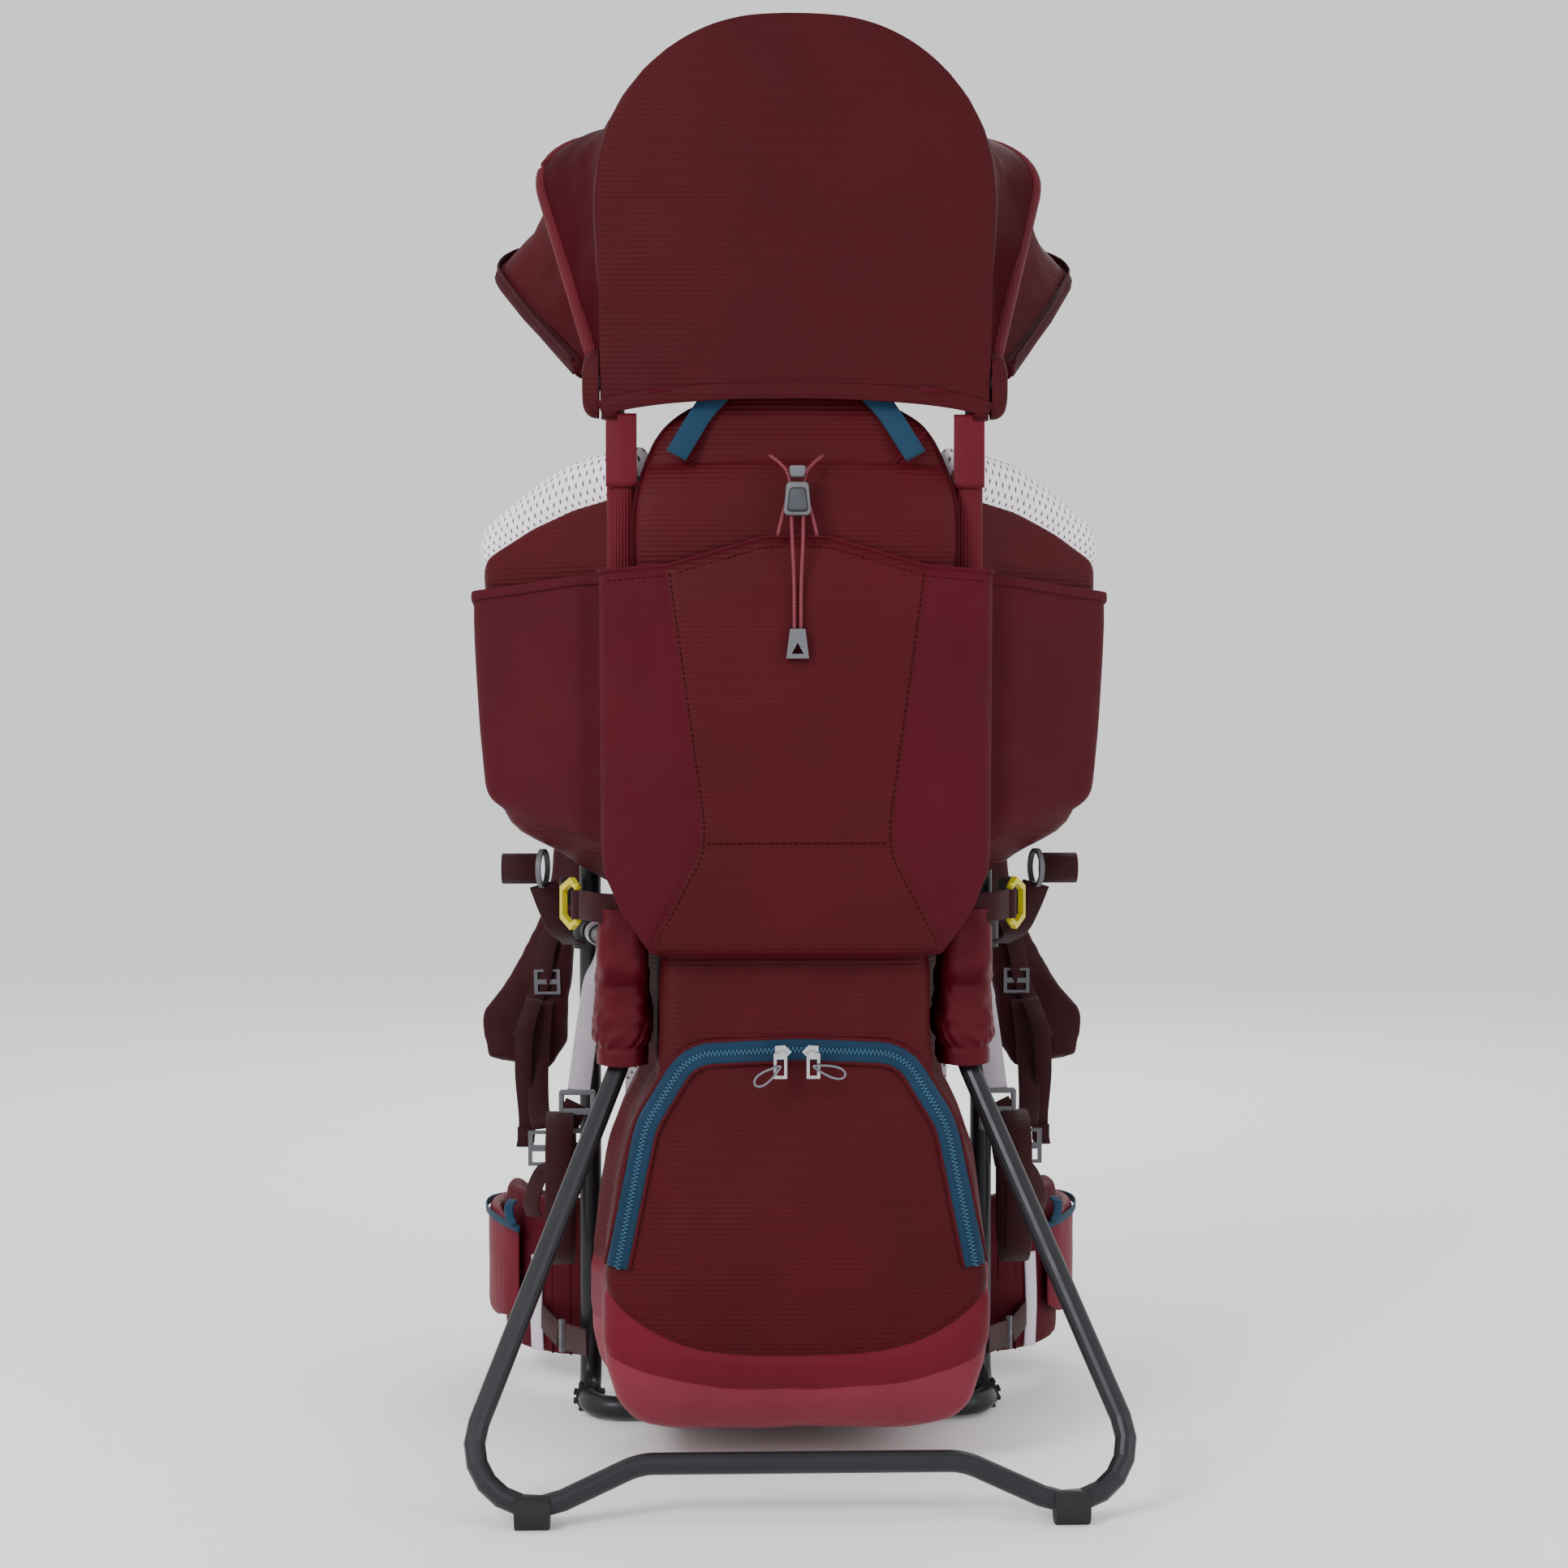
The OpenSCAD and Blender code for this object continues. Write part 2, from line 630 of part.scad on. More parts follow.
// The side-entry hooks: six-sided rings that hang on the webbing's loops
module side_hook() {
    color(lime) translate([148, -108.5, 382]) {
        cylinder(r = 2, h = 28, center = true, $fn = ROUND);
        rotate([90, 0, 62]) linear_extrude(4, center = true) difference() {
            polygon([[-2, -12], [8, -18], [24, -11], [24, 11], [8, 18], [-2, 12]]);
            polygon([[2, -11], [8, -13.4], [20, -8], [20, 8], [8, 13.4], [2, 11]]);
            square([9.4, 21], center = true);
        }
    }
}

module side_hook_right() { side_hook(); }
module side_hook_left() { mirror(X_AXIS) side_hook(); }

// ---------------------------------------------------------------- kickstand

// A point of the kickstand's plane: X and the distance from the hinge axis
function stand_point(x, d) =
    [x, pivot_y - d * sin(stand_tilt), pivot_z - d * cos(stand_tilt)];

STAND_CORNER = [237, stand_reach + 32.5];

function stand_path(start) =
    let (half = [[pivot_x, start], [pivot_x, 52], STAND_CORNER, [103, stand_reach - stand_rise]])
    let (right = [for (p = half) stand_point(p.x, p.y)])
    rounded_path(concat(right, flip(right)), [70, 40, 45, 45, 40, 70], 7);

module kickstand_tube() {
    color(tube_grey) swept_rod(stand_path(14), stand_d, [0, cos(stand_tilt), -sin(stand_tilt)], 16);
}

// Hinge eyes with a socket for each leg's end
module kickstand_fittings() {
    color(black_plastic) both_sides() translate([pivot_x, pivot_y, pivot_z])
        difference() {
            union() {
                rotate([0, 90, 0]) cylinder(r = 11, h = 19.6, center = true, $fn = ROUND);
                rotate([180 - stand_tilt, 0, 0]) cylinder(r = stand_d / 2 + 2.6, h = 40, $fn = ROUND);
            }
            rotate([0, 90, 0]) cylinder(r = pin_r + pin_gap, h = 60, center = true, $fn = ROUND);
            rotate([180 - stand_tilt, 0, 0]) translate([0, 0, 13.8])
                cylinder(r = stand_d / 2 + 0.06, h = 60, $fn = ROUND);
        }
}

module kickstand_feet() {
    foot_x = 170;
    color(black_plastic) both_sides() difference() {
        translate([foot_x, pivot_y - stand_reach * sin(stand_tilt), 10])
            rotate([0, 90, 0]) cylinder(r = stand_d / 2 + 3.4, h = 22, center = true, $fn = ROUND);
        swept_rod(stand_path(14), stand_d + 0.3, [0, cos(stand_tilt), -sin(stand_tilt)], 16);
        translate([foot_x - 30, -300, -20]) cube([60, 100, 20]);
    }
}

// ---------------------------------------------------------------- canopy

// Half of each hoop in its own plane: start, side, corner and apex
REAR_HOOP = [[hub_x, 8], [129, 110], [126, 232], [0, 236]];
MID_HOOP = [[mid_eye_x, 8], [151, 95], [184, 232], [0, 258]];
FRONT_HOOP = [[front_eye_x, 8], [186, 150], [230, 296], [0, 342]];
REAR_RADII = [200, 112, 300, 112, 200];
MID_RADII = [120, 42, 400, 42, 120];
FRONT_RADII = [200, 66, 400, 66, 200];
HUB_PIN_R = 3;

function hoop_point(p, tilt) = [p.x, hub_y + p.y * sin(tilt), hub_z + p.y * cos(tilt)];

// A hoop's path, puffed out from its own middle
function hoop_path(half, radii, tilt, puff = 0, n = 5) =
    let (centre = [0, 90])
    let (flat = rounded_path(concat(half, [for (i = [2:-1:0]) [-half[i].x, half[i].y]]), radii, n))
    [for (p = flat) hoop_point(p + puff * unit(p - centre), tilt)];

module canopy_rear_hoop() {
    legs = [[upright_x, upright_y, 640], [upright_x, upright_y, 700]];
    half = [for (p = [[hub_x, 6], REAR_HOOP[2]]) hoop_point(p, rear_tilt)];
    apex = [hoop_point(REAR_HOOP[3], rear_tilt)];
    color(tube_grey) swept_rod(
        rounded_path(concat(legs, half, apex, flip(concat(legs, half))),
            [24, 24, 112, 300, 112, 24, 24], 6), rod_d, Y_AXIS + 0.01 * X_AXIS, 14);
}

module canopy_hubs() {
    inner_x = hub_x + rod_d / 2 + 0.8;
    color(black_plastic) both_sides() translate([inner_x, hub_y, hub_z]) rotate([0, 90, 0]) {
        cylinder(r = 5, h = 0.8, $fn = ROUND);
        cylinder(r = HUB_PIN_R, h = 14, $fn = ROUND);
        translate([0, 0, 13.2]) cylinder(r = 5, h = 1.6, $fn = ROUND);
    }
}

module canopy_rear_panel() {
    outline = rounded_path(concat([[131, -24], [133, 110], [130, 237]], [[0, 242]],
        [[-130, 237], [-133, 110], [-131, -24]]), [600, 116, 300, 116, 600], 6);
    color(burgundy) translate([0, hub_y - rod_d / 2 - 3, hub_z]) rotate([-rear_tilt, 0, 0])
        rotate([90, 0, 0]) linear_extrude(cloth_t)
        polygon(concat(outline, [for (a = [0:12:180]) [-127 * cos(a), -28 + 16 * sin(a)]]));
}

// A sheet between two hoops, clear of both rods
module hoop_sheet(half_a, radii_a, tilt_a, half_b, radii_b, tilt_b, skip) {
    inner = 5;
    outer = inner + cloth_t;
    in_a = hoop_path(half_a, radii_a, tilt_a, inner);
    in_b = hoop_path(half_b, radii_b, tilt_b, inner);
    out_a = hoop_path(half_a, radii_a, tilt_a, outer);
    out_b = hoop_path(half_b, radii_b, tilt_b, outer);
    color(burgundy) skin([for (i = [skip:len(in_a) - 1 - skip]) [out_a[i], in_a[i], in_b[i], out_b[i]]]);
}

module canopy_mid_panel() {
    hoop_sheet(REAR_HOOP, REAR_RADII, rear_tilt + 1.5, MID_HOOP, MID_RADII, mid_tilt - 1.5, 1);
}

module canopy_front_panel() {
    hoop_sheet(MID_HOOP, MID_RADII, mid_tilt + 1, FRONT_HOOP, FRONT_RADII, front_tilt, 1);
}

module folding_hoop(half, radii, tilt, eye_x) {
    color(tube_grey) union() {
        difference() {
            swept_rod(hoop_path(half, radii, tilt), hoop_d, [0, cos(tilt), -sin(tilt)], 12);
            both_sides() translate([eye_x, hub_y, hub_z]) rotate([0, 90, 0])
                cylinder(r = 5.4, h = 12, center = true, $fn = ROUND);
        }
        both_sides() translate([eye_x, hub_y, hub_z]) rotate([0, 90, 0]) difference() {
            cylinder(r = 6.5, h = 5, center = true, $fn = ROUND);
            cylinder(r = HUB_PIN_R + pin_gap, h = 20, center = true, $fn = ROUND);
        }
    }
}

module canopy_mid_hoop() { folding_hoop(MID_HOOP, MID_RADII, mid_tilt, mid_eye_x); }
module canopy_front_hoop() { folding_hoop(FRONT_HOOP, FRONT_RADII, front_tilt, front_eye_x); }

// ---------------------------------------------------------------- shoulder harness

module shoulder_yoke() {
    color(side_burgundy) soft_box(150, 77.5, 92, 560, 622, 6);
}

STRAP_POINTS = [
    [48, 86, 632], [52, 98, 655], [64, 126, 676], [88, 166, 668], [116, 196, 612],
    [138, 204, 530], [156, 196, 440], [172, 172, 360], [186, 150, 310], [201, 132, 268],
    [206, 126, 238]
];
STRAP_WIDTHS = [54, 58, 62, 64, 62, 58, 50, 42, 58, 80, 54];
STRAP_ACROSS = [
    [1, 0, 0], [1, -0.1, 0], [1, -0.3, 0], [1, -0.6, 0], [1, -0.3, 0.1], [1, 0, 0.2],
    [1, 0.2, 0.2], [1, 0.4, 0.3], [1, 0.2, 0.4], [1, 0, 0.4], [1, 0, 0.3]
];

module shoulder_strap_right() {
    color(side_burgundy) padded_strap(STRAP_POINTS, STRAP_WIDTHS, STRAP_ACROSS, strap_t);
}

module shoulder_strap_left() { mirror(X_AXIS) shoulder_strap_right(); }

module shoulder_locks() {
    color(plastic_grey) both_sides() translate([183, 136.5, 304]) rotate([-23, 0, -8])
        ladder_lock(20, 20, 3.4, 2.6);
}

// Webbing that changes length as the harness is set to a back
module harness_webbing() {
    color(strap_burgundy) both_sides() {
        ribbon([[186, 130, 290], [188, 112, 255], [187, 90, 218], [183, 69, 201]], 16, X_AXIS, webbing_t);
        ribbon([[62, 68, 676], [66, 96, 686], [72, 124, 688]], 18, X_AXIS, webbing_t);
    }
}

module sternum_strap() {
    color(strap_burgundy) translate([0, 216, 530]) {
        ribbon([[-136, 0, 0], [-70, 0.5, 0], [-22, 0, 0]], 20, Z_AXIS, webbing_t);
        translate([-9, 0, 0]) difference() {
            cube([26, 9, 30], center = true);
            translate([4, 0, 0]) cube([26, 5.4, 24], center = true);
        }
    }
}

module sternum_plug() {
    color(black_plastic) translate([0, 216, 530]) {
        translate([12, 0, 0]) cube([15, 9, 28], center = true);
        for (z = [-7, 7]) translate([0, 0, z]) cube([14, 4, 6], center = true);
        translate([77, 0, 0]) cube([118, 1.6, 20], center = true);
    }
}

// ---------------------------------------------------------------- seat and stirrups

module seat_pad() {
    color(lilac) loft([
        [407, [[68, -74], [90, -40], [90, 14]]],
        [412, [[74, -80], [94, -44], [94, 18]]],
        [426, [[74, -80], [92, -44], [92, 18]]],
        [432, [[66, -72], [84, -38], [84, 10]]]], 8);
}

function on_arm(y) = frame_half + arm_run.x * (frame_y - y) / (frame_y - upright_y);

// A strap that hangs on the side arm and ends in a foot loop
module stirrup() {
    y = 15;
    color(light_webbing) union() {
        translate([on_arm(y), y, arm_z]) rotate([0, 0, arm_angle]) rotate([0, 90, 0])
            difference() {
                cylinder(d = arm_d + 4, h = 18, center = true, $fn = ROUND);
                cylinder(d = arm_d + 0.6, h = 40, center = true, $fn = ROUND);
            }
        ribbon([[on_arm(y), y, arm_z - arm_d / 2 - 1], [145, y, 290], [152, y, 238]],
            18, Y_AXIS, webbing_t);
        translate([160, y, 222]) cube([18, 26, 34], center = true);
        translate([166, y, 166]) rotate([0, 90, 0]) linear_extrude(20, center = true) difference() {
            union() {
                square([50, 62], center = true);
                for (s = [-1, 1]) translate([s * 25, 0]) circle(31, $fn = ROUND);
            }
            square([50, 56], center = true);
            for (s = [-1, 1]) translate([s * 25, 0]) circle(28, $fn = ROUND);
        }
    }
}

module stirrup_right() { stirrup(); }
module stirrup_left() { mirror(X_AXIS) stirrup(); }

// ---------------------------------------------------------------- nodes

main_frame_tube();
side_arms();
rear_uprights();
frame_brackets();
pivot_pins();
base_pads();
corner_pads();
back_pads();
lumbar_pad();
cabin_shell();
cabin_rim();
drool_pad();
side_pocket_left();
side_pocket_right();
backrest_panel();
rod_channels();
stuff_pocket();
grab_handle();
lower_bag();
bag_zip_tape();
stand_boots();
bungee_cord();
cord_pull();
child_harness();
harness_buckle();
hip_fin_left();
hip_fin_right();
hip_pockets();
belt_webbing();
belt_buckle_socket();
frame_straps();
frame_strap_locks();
kickstand_tube();
kickstand_fittings();
kickstand_feet();
canopy_rear_hoop();
canopy_hubs();
canopy_rear_panel();
canopy_mid_hoop();
canopy_mid_panel();
canopy_front_hoop();
canopy_front_panel();
shoulder_yoke();
shoulder_strap_left();
shoulder_strap_right();
shoulder_locks();
harness_webbing();
sternum_strap();
sternum_plug();
belt_buckle_plug();
seat_pad();
stirrup_left();
stirrup_right();
side_hook_left();
side_hook_right();
zip_slider_left();
zip_slider_right();
cord_lock_body();
cord_lock_button();
harness_button();
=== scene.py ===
"""Looks of the baby carrier backpack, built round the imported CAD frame."""

import math

import bmesh
import bpy
import numpy as np
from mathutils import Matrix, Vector, noise


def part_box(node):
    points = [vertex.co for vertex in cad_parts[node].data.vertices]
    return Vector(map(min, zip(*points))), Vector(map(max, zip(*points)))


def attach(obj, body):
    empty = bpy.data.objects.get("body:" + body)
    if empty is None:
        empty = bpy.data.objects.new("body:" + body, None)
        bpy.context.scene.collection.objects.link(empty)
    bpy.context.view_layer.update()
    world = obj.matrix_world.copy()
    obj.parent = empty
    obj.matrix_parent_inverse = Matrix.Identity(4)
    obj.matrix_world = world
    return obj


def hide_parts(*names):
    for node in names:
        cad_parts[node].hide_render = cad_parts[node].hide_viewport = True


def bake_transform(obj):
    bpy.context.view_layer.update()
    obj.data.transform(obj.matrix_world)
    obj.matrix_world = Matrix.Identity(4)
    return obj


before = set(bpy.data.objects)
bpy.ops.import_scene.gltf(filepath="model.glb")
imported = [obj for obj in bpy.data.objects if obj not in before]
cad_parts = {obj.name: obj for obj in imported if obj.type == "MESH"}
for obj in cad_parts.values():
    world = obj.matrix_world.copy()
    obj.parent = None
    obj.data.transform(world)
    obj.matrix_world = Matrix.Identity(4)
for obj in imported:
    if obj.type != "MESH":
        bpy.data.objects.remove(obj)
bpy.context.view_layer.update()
SCENE = bpy.context.scene
MM = 0.001
TAU = 2 * math.pi
X, Z = (1, 0, 0), (0, 0, 1)
PLAN = (1, 1, 0)

# ------------------------------------------------------------------ camera and light

camera = bpy.data.objects.new("camera", bpy.data.cameras.new("camera"))
SCENE.collection.objects.link(camera)
camera.location = (-0.0657, -1.857, 0.506)
camera.rotation_euler = (math.radians(90 - 1.38), 0, math.radians(-1.92))
camera.data.lens = 58.9
camera.data.sensor_width = 36
SCENE.camera = camera


def area_light(name, place, target, size, power):
    light = bpy.data.lights.new(name, "AREA")
    light.size = size
    light.energy = power
    obj = bpy.data.objects.new(name, light)
    SCENE.collection.objects.link(obj)
    obj.location = place
    aim = Vector(target) - Vector(place)
    obj.rotation_euler = aim.to_track_quat("-Z", "Y").to_euler()


area_light("key", (-1.5, -1.9, 1.9), (0, 0, 0.5), 0.9, 48)
area_light("fill", (1.9, -1.6, 1.2), (0, 0, 0.45), 1.2, 16)
area_light("back", (0.3, 1.9, 1.8), (0, 0, 0.5), 1.2, 22)
world = bpy.data.worlds.new("studio")
world.use_nodes = True
world.node_tree.nodes["Background"].inputs["Color"].default_value = (1, 1, 1, 1)
world.node_tree.nodes["Background"].inputs["Strength"].default_value = 1.05
SCENE.world = world

# ------------------------------------------------------------------ materials


def linear(rgb):
    """A colour given as 0 to 255 sRGB, as the linear values that a shader takes."""
    return [((c / 255 + 0.055) / 1.055) ** 2.4 if c > 10 else c / 255 / 12.92 for c in rgb]


class Shader:
    """A material's node tree, with short names for the nodes that the finishes use."""

    def __init__(self, name):
        self.material = bpy.data.materials.new(name)
        self.material.use_nodes = True
        self.tree = self.material.node_tree
        self.surface = self.tree.nodes["Principled BSDF"]

    def put(self, socket, value):
        if isinstance(value, bpy.types.NodeSocket):
            self.tree.links.new(value, socket)
        else:
            socket.default_value = value

    def node(self, kind, inputs=(), **settings):
        """A new node's outputs. inputs gives values or links, by each socket's name or number."""
        node = self.tree.nodes.new("ShaderNode" + kind)
        for key, value in settings.items():
            setattr(node, key, value)
        for key, value in dict(inputs).items():
            self.put(node.inputs[key], value)
        return node.outputs

    def surfaced(self, values):
        """The material, with its surface's sockets set or linked by name."""
        for key, value in values.items():
            self.put(self.surface.inputs[key], value)
        return self.material

    def coords(self, kind):
        return self.node("TexCoord")[kind]

    def math(self, operation, a, b=0.0, c=0.0):
        return self.node("Math", enumerate((a, b, c)), operation=operation)[0]

    def noise(self, vector, scale, detail):
        return self.node("TexNoise", {"Vector": vector, "Scale": scale, "Detail": detail})["Fac"]

    def bands(self, vector, axis, period, wobble=0.0):
        """Sine bands along one axis, period metres apart."""
        return self.node("TexWave", {"Vector": vector, "Scale": TAU / 20 / period, "Distortion": wobble,
                                     "Detail Scale": 0.4}, bands_direction=axis)["Fac"]

    def mix(self, share, a, b):
        a, b = (c if isinstance(c, bpy.types.NodeSocket) else (*c, 1) for c in (a, b))
        return self.node("Mix", {0: share, 6: a, 7: b}, data_type="RGBA")[2]

    def spread(self, value, low, high):
        """value from 0 to 1, as low to high."""
        return self.node("MapRange", {"Value": value, "To Min": low, "To Max": high})[0]

    def bump(self, height, strength, distance, under=None):
        inputs = {"Height": height, "Strength": strength, "Distance": distance}
        if under is not None:
            inputs["Normal"] = under
        return self.node("Bump", inputs)[0]


def scaled(colour, by):
    return [min(1, c * by) for c in colour]


SHEEN = (130, 50, 64)
RIB_SHADE = 0.3


def cloth(name, rgb, ribs=None, weave=0.0011, rough=0.62, sheen=0.07, coords="Object", rib_axis="Z",
          shade=0.22, sheen_rgb=SHEEN, crumple=0.0006, gloss=0.14):
    """Woven fabric: a fine weave, ribs where it has them, uneven dye and soft crumpling."""
    s = Shader(name)
    at = s.coords(coords)
    where = s.coords("Object")
    base = linear(rgb)
    low, high = scaled(base, 1 - shade), scaled(base, 1 + shade)
    colour = s.mix(s.spread(s.noise(where, 11, 4), -0.35, 1.35), low, high)
    threads = s.math("MULTIPLY", s.bands(at, "X", weave), s.bands(at, "Y" if coords == "UV" else "Z", weave))
    if ribs:
        rib = s.bands(at, rib_axis, ribs, 0.6)
        colour = s.mix(s.spread(rib, 0, RIB_SHADE), colour, scaled(base, 1 - RIB_SHADE))
    colour = s.mix(s.spread(threads, 0.0, 0.22), colour, high)
    normal = s.bump(s.noise(where, 26, 3), 0.5, crumple)
    if ribs:
        normal = s.bump(rib, 0.55, 0.0004, normal)
    return s.surfaced({
        "Base Color": colour, "Normal": s.bump(threads, 0.5, 0.00018, normal),
        "Roughness": s.spread(s.noise(where, 30, 2), rough - 0.08, rough + 0.1),
        "Sheen Weight": sheen, "Sheen Roughness": 0.45, "Sheen Tint": (*linear(sheen_rgb), 1),
        "Specular IOR Level": gloss})


def air_mesh(name, rgb, hole_shade_rgb, coords="Object", wide=0.0056, tall=0.0042, hole=(0.25, 0.33)):
    """Spacer mesh: rows of oval holes, each row set half a hole along, over a paler knit; the holes are coloured
    dark as painted shade.
    """
    s = Shader(name)
    x, y, z = s.node("SeparateXYZ", {0: s.coords(coords)})
    row = s.math("DIVIDE", y if coords == "UV" else z, tall)
    shift = s.math("MULTIPLY", s.math("PINGPONG", s.math("FLOOR", row), 1.0), 0.5)
    along = s.math("ADD", s.math("DIVIDE", x, wide), shift)
    dx, dy = (s.math("DIVIDE", s.math("SUBTRACT", s.math("FRACT", value), 0.5), half)
              for value, half in ((along, hole[0]), (row, hole[1])))
    far = s.math("ADD", s.math("MULTIPLY", dx, dx), s.math("MULTIPLY", dy, dy))
    pit = s.math("SUBTRACT", 1.0, s.math("MINIMUM", s.math("POWER", far, 1.6), 1.0))
    where = s.coords("Object")
    base = linear(rgb)
    knit = s.mix(s.noise(where, 14, 3), scaled(base, 0.86), scaled(base, 1.1))
    # Painted shade: the holes take the second, darker colour.
    return s.surfaced({
        "Base Color": s.mix(pit, knit, linear(hole_shade_rgb)),
        "Normal": s.bump(s.math("SUBTRACT", 1.0, pit), 0.7, 0.0011, s.bump(s.noise(where, 900, 2), 0.35, 0.0003)),
        "Roughness": 0.82, "Sheen Weight": 0.3})


def webbing(name, rgb, pitch=0.0016):
    """Woven tape: ribs across it and a herringbone, from UVs in metres along and across."""
    s = Shader(name)
    at = s.coords("UV")
    where = s.coords("Object")
    base = linear(rgb)
    both = s.math("MULTIPLY", s.bands(at, "X", pitch), s.spread(s.bands(at, "DIAGONAL", pitch * 1.7), 0.6, 1.0))
    tone = s.mix(s.noise(where, 40, 3), scaled(base, 0.72), scaled(base, 1.18))
    return s.surfaced({
        "Base Color": s.mix(s.spread(both, 0.45, 0.0), tone, scaled(base, 0.45)),
        "Normal": s.bump(both, 0.8, 0.0004), "Roughness": s.spread(s.noise(where, 60, 2), 0.5, 0.72),
        "Sheen Weight": 0.06, "Specular IOR Level": 0.15})


def moulded(name, rgb, rough=0.42, grain=0.00008, metal=0.0, worn=0.1, specks=420):
    """Moulded plastic or metal: fine grain, uneven gloss and faint scuffs."""
    s = Shader(name)
    where = s.coords("Object")
    base = linear(rgb)
    return s.surfaced({
        "Base Color": s.mix(s.spread(s.noise(where, 38, 5), 0, 1), scaled(base, 1 - worn), scaled(base, 1 + worn)),
        "Roughness": s.spread(s.noise(where, 52, 4), rough - 0.1, rough + 0.12),
        "Normal": s.bump(s.noise(where, specks, 2), 0.4, grain), "Metallic": metal, "Specular IOR Level": 0.3})


def braid(name, rgb):
    """Braided cord: bands across it, broken by a fine noise."""
    s = Shader(name)
    where = s.coords("Object")
    base = linear(rgb)
    strands = s.math("MULTIPLY", s.bands(where, "Z", 0.0021), s.spread(s.noise(where, 700, 1), 0.6, 1.0))
    return s.surfaced({"Base Color": s.mix(strands, scaled(base, 0.55), base),
                       "Normal": s.bump(strands, 0.8, 0.0005), "Roughness": 0.6})


M = {
    "canopy": cloth("canopy_cloth", (60, 3, 12), ribs=0.0036, rough=0.6, crumple=0.001),
    "gusset": cloth("gusset_satin", (56, 4, 14), weave=0.0008, rough=0.66, sheen=0.02, gloss=0.04, coords="UV",
                    crumple=0.0016),
    "front_gusset": cloth("gusset_ripstop", (66, 5, 15), ribs=0.0042, rib_axis="X", coords="UV", rough=0.62,
                          sheen=0.03, gloss=0.06, crumple=0.0014),
    "hem": cloth("dark_hem", (50, 4, 13), weave=0.0009, gloss=0.06, coords="UV"),
    "ripstop": cloth("ripstop", (66, 4, 13), ribs=0.0034, rough=0.56),
    "stretch": cloth("stretch_weave", (68, 6, 20), weave=0.0013, rough=0.74, sheen=0.08, shade=0.16,
                     crumple=0.0004),
    "pocket": cloth("pocket_weave", (66, 7, 20), weave=0.0012, rough=0.72, sheen=0.1, shade=0.16,
                    crumple=0.0005),
    "band": cloth("bag_band", (96, 16, 34), ribs=0.0018, rib_axis="X", rough=0.5, sheen_rgb=(150, 50, 66)),
    "bottom": cloth("bag_bottom", (114, 40, 54), rough=0.5, sheen=0.1, sheen_rgb=(180, 80, 96), crumple=0.002),
    "channel": cloth("ribbed_channel", (82, 10, 24), ribs=0.0021, rib_axis="X", rough=0.55),
    "satin": cloth("satin_red", (84, 12, 27), weave=0.0007, rough=0.42, sheen=0.1, sheen_rgb=(165, 62, 80),
                   crumple=0.0016),
    "boot": cloth("boot_cloth", (72, 5, 19), weave=0.0009, rough=0.5, sheen=0.1, sheen_rgb=(150, 50, 66),
                  crumple=0.002),
    "hip": cloth("hip_cloth", (44, 6, 14), rough=0.6, sheen=0.1),
    "lining": cloth("lilac_lining", (196, 186, 200), weave=0.0012, rough=0.7, sheen=0.3, shade=0.08,
                    sheen_rgb=(220, 214, 224)),
    "black_cloth": cloth("black_cloth", (38, 33, 36), weave=0.0012, rough=0.7, sheen=0.3,
                         sheen_rgb=(90, 84, 88)),
    # The air meshes' second colours are painted shade in their holes.
    "mesh": air_mesh("air_mesh", (206, 194, 206), (104, 92, 104)),
    "rim_mesh": air_mesh("rim_mesh", (244, 234, 244), (44, 32, 40), "UV", 0.0062, 0.0054, (0.15, 0.36)),
    "dark_tape": webbing("dark_webbing", (50, 8, 16)),
    "blue_tape": webbing("blue_webbing", (22, 58, 84)),
    "pale_tape": webbing("pale_webbing", (186, 178, 188)),
    "zip_tape": webbing("zip_tape", (18, 52, 78), pitch=0.0011),
    "teeth": moulded("zip_teeth", (52, 92, 116), rough=0.4),
    "tube": moulded("tube_grey", (40, 40, 44), rough=0.36, metal=0.35, grain=0.00002, worn=0.05, specks=900),
    "black": moulded("black_plastic", (34, 33, 35), rough=0.48),
    "grey": moulded("grey_plastic", (94, 94, 100), rough=0.45),
    "slate": moulded("slate_plastic", (62, 64, 70), rough=0.38),
    "loop": moulded("pull_loop", (112, 112, 122), rough=0.5, grain=0.0002, specks=1400),
    "rubber": moulded("rubber", (30, 29, 31), rough=0.72, grain=0.00015),
    "metal": moulded("bright_metal", (186, 186, 190), rough=0.26, metal=1.0, grain=0.00001, worn=0.04),
    "lime": moulded("lime_plastic", (190, 178, 28), rough=0.4),
    "button": moulded("lime_button", (176, 180, 40), rough=0.4),
    "cord": braid("braided_cord", (124, 38, 54)),
}

# ------------------------------------------------------------------ mesh helpers


def unit(v):
    v = np.asarray(v, float)
    return v / np.maximum(np.linalg.norm(v, axis=-1, keepdims=True), 1e-9)


def corner(a, b, c, r, n):
    """Points of the arc of radius r that rounds the corner b between a and c."""
    u, w = unit(a - b), unit(c - b)
    half = math.acos(max(-1, min(1, float(u @ w)))) / 2
    middle = b + unit(u + w) * r / math.sin(half)
    reach = r / math.tan(half)
    start, end = b + u * reach - middle, b + w * reach - middle
    phi = math.pi - 2 * half
    return [middle + (math.sin((1 - t) * phi) * start + math.sin(t * phi) * end) / math.sin(phi)
            for t in np.linspace(0, 1, n + 1)]


def rounded(points, radii, n=6):
    """An open path through its corner points, each rounded by its own radius."""
    points = [np.asarray(p, float) for p in points]
    path = [points[0]]
    for i in range(1, len(points) - 1):
        path += corner(points[i - 1], points[i], points[i + 1], radii[i - 1], n)
    return np.array(path + [points[-1]])


def travelled(path):
    """Distance along a path at each of its points."""
    return np.concatenate([[0], np.cumsum(np.linalg.norm(np.diff(path, axis=0), axis=1))])


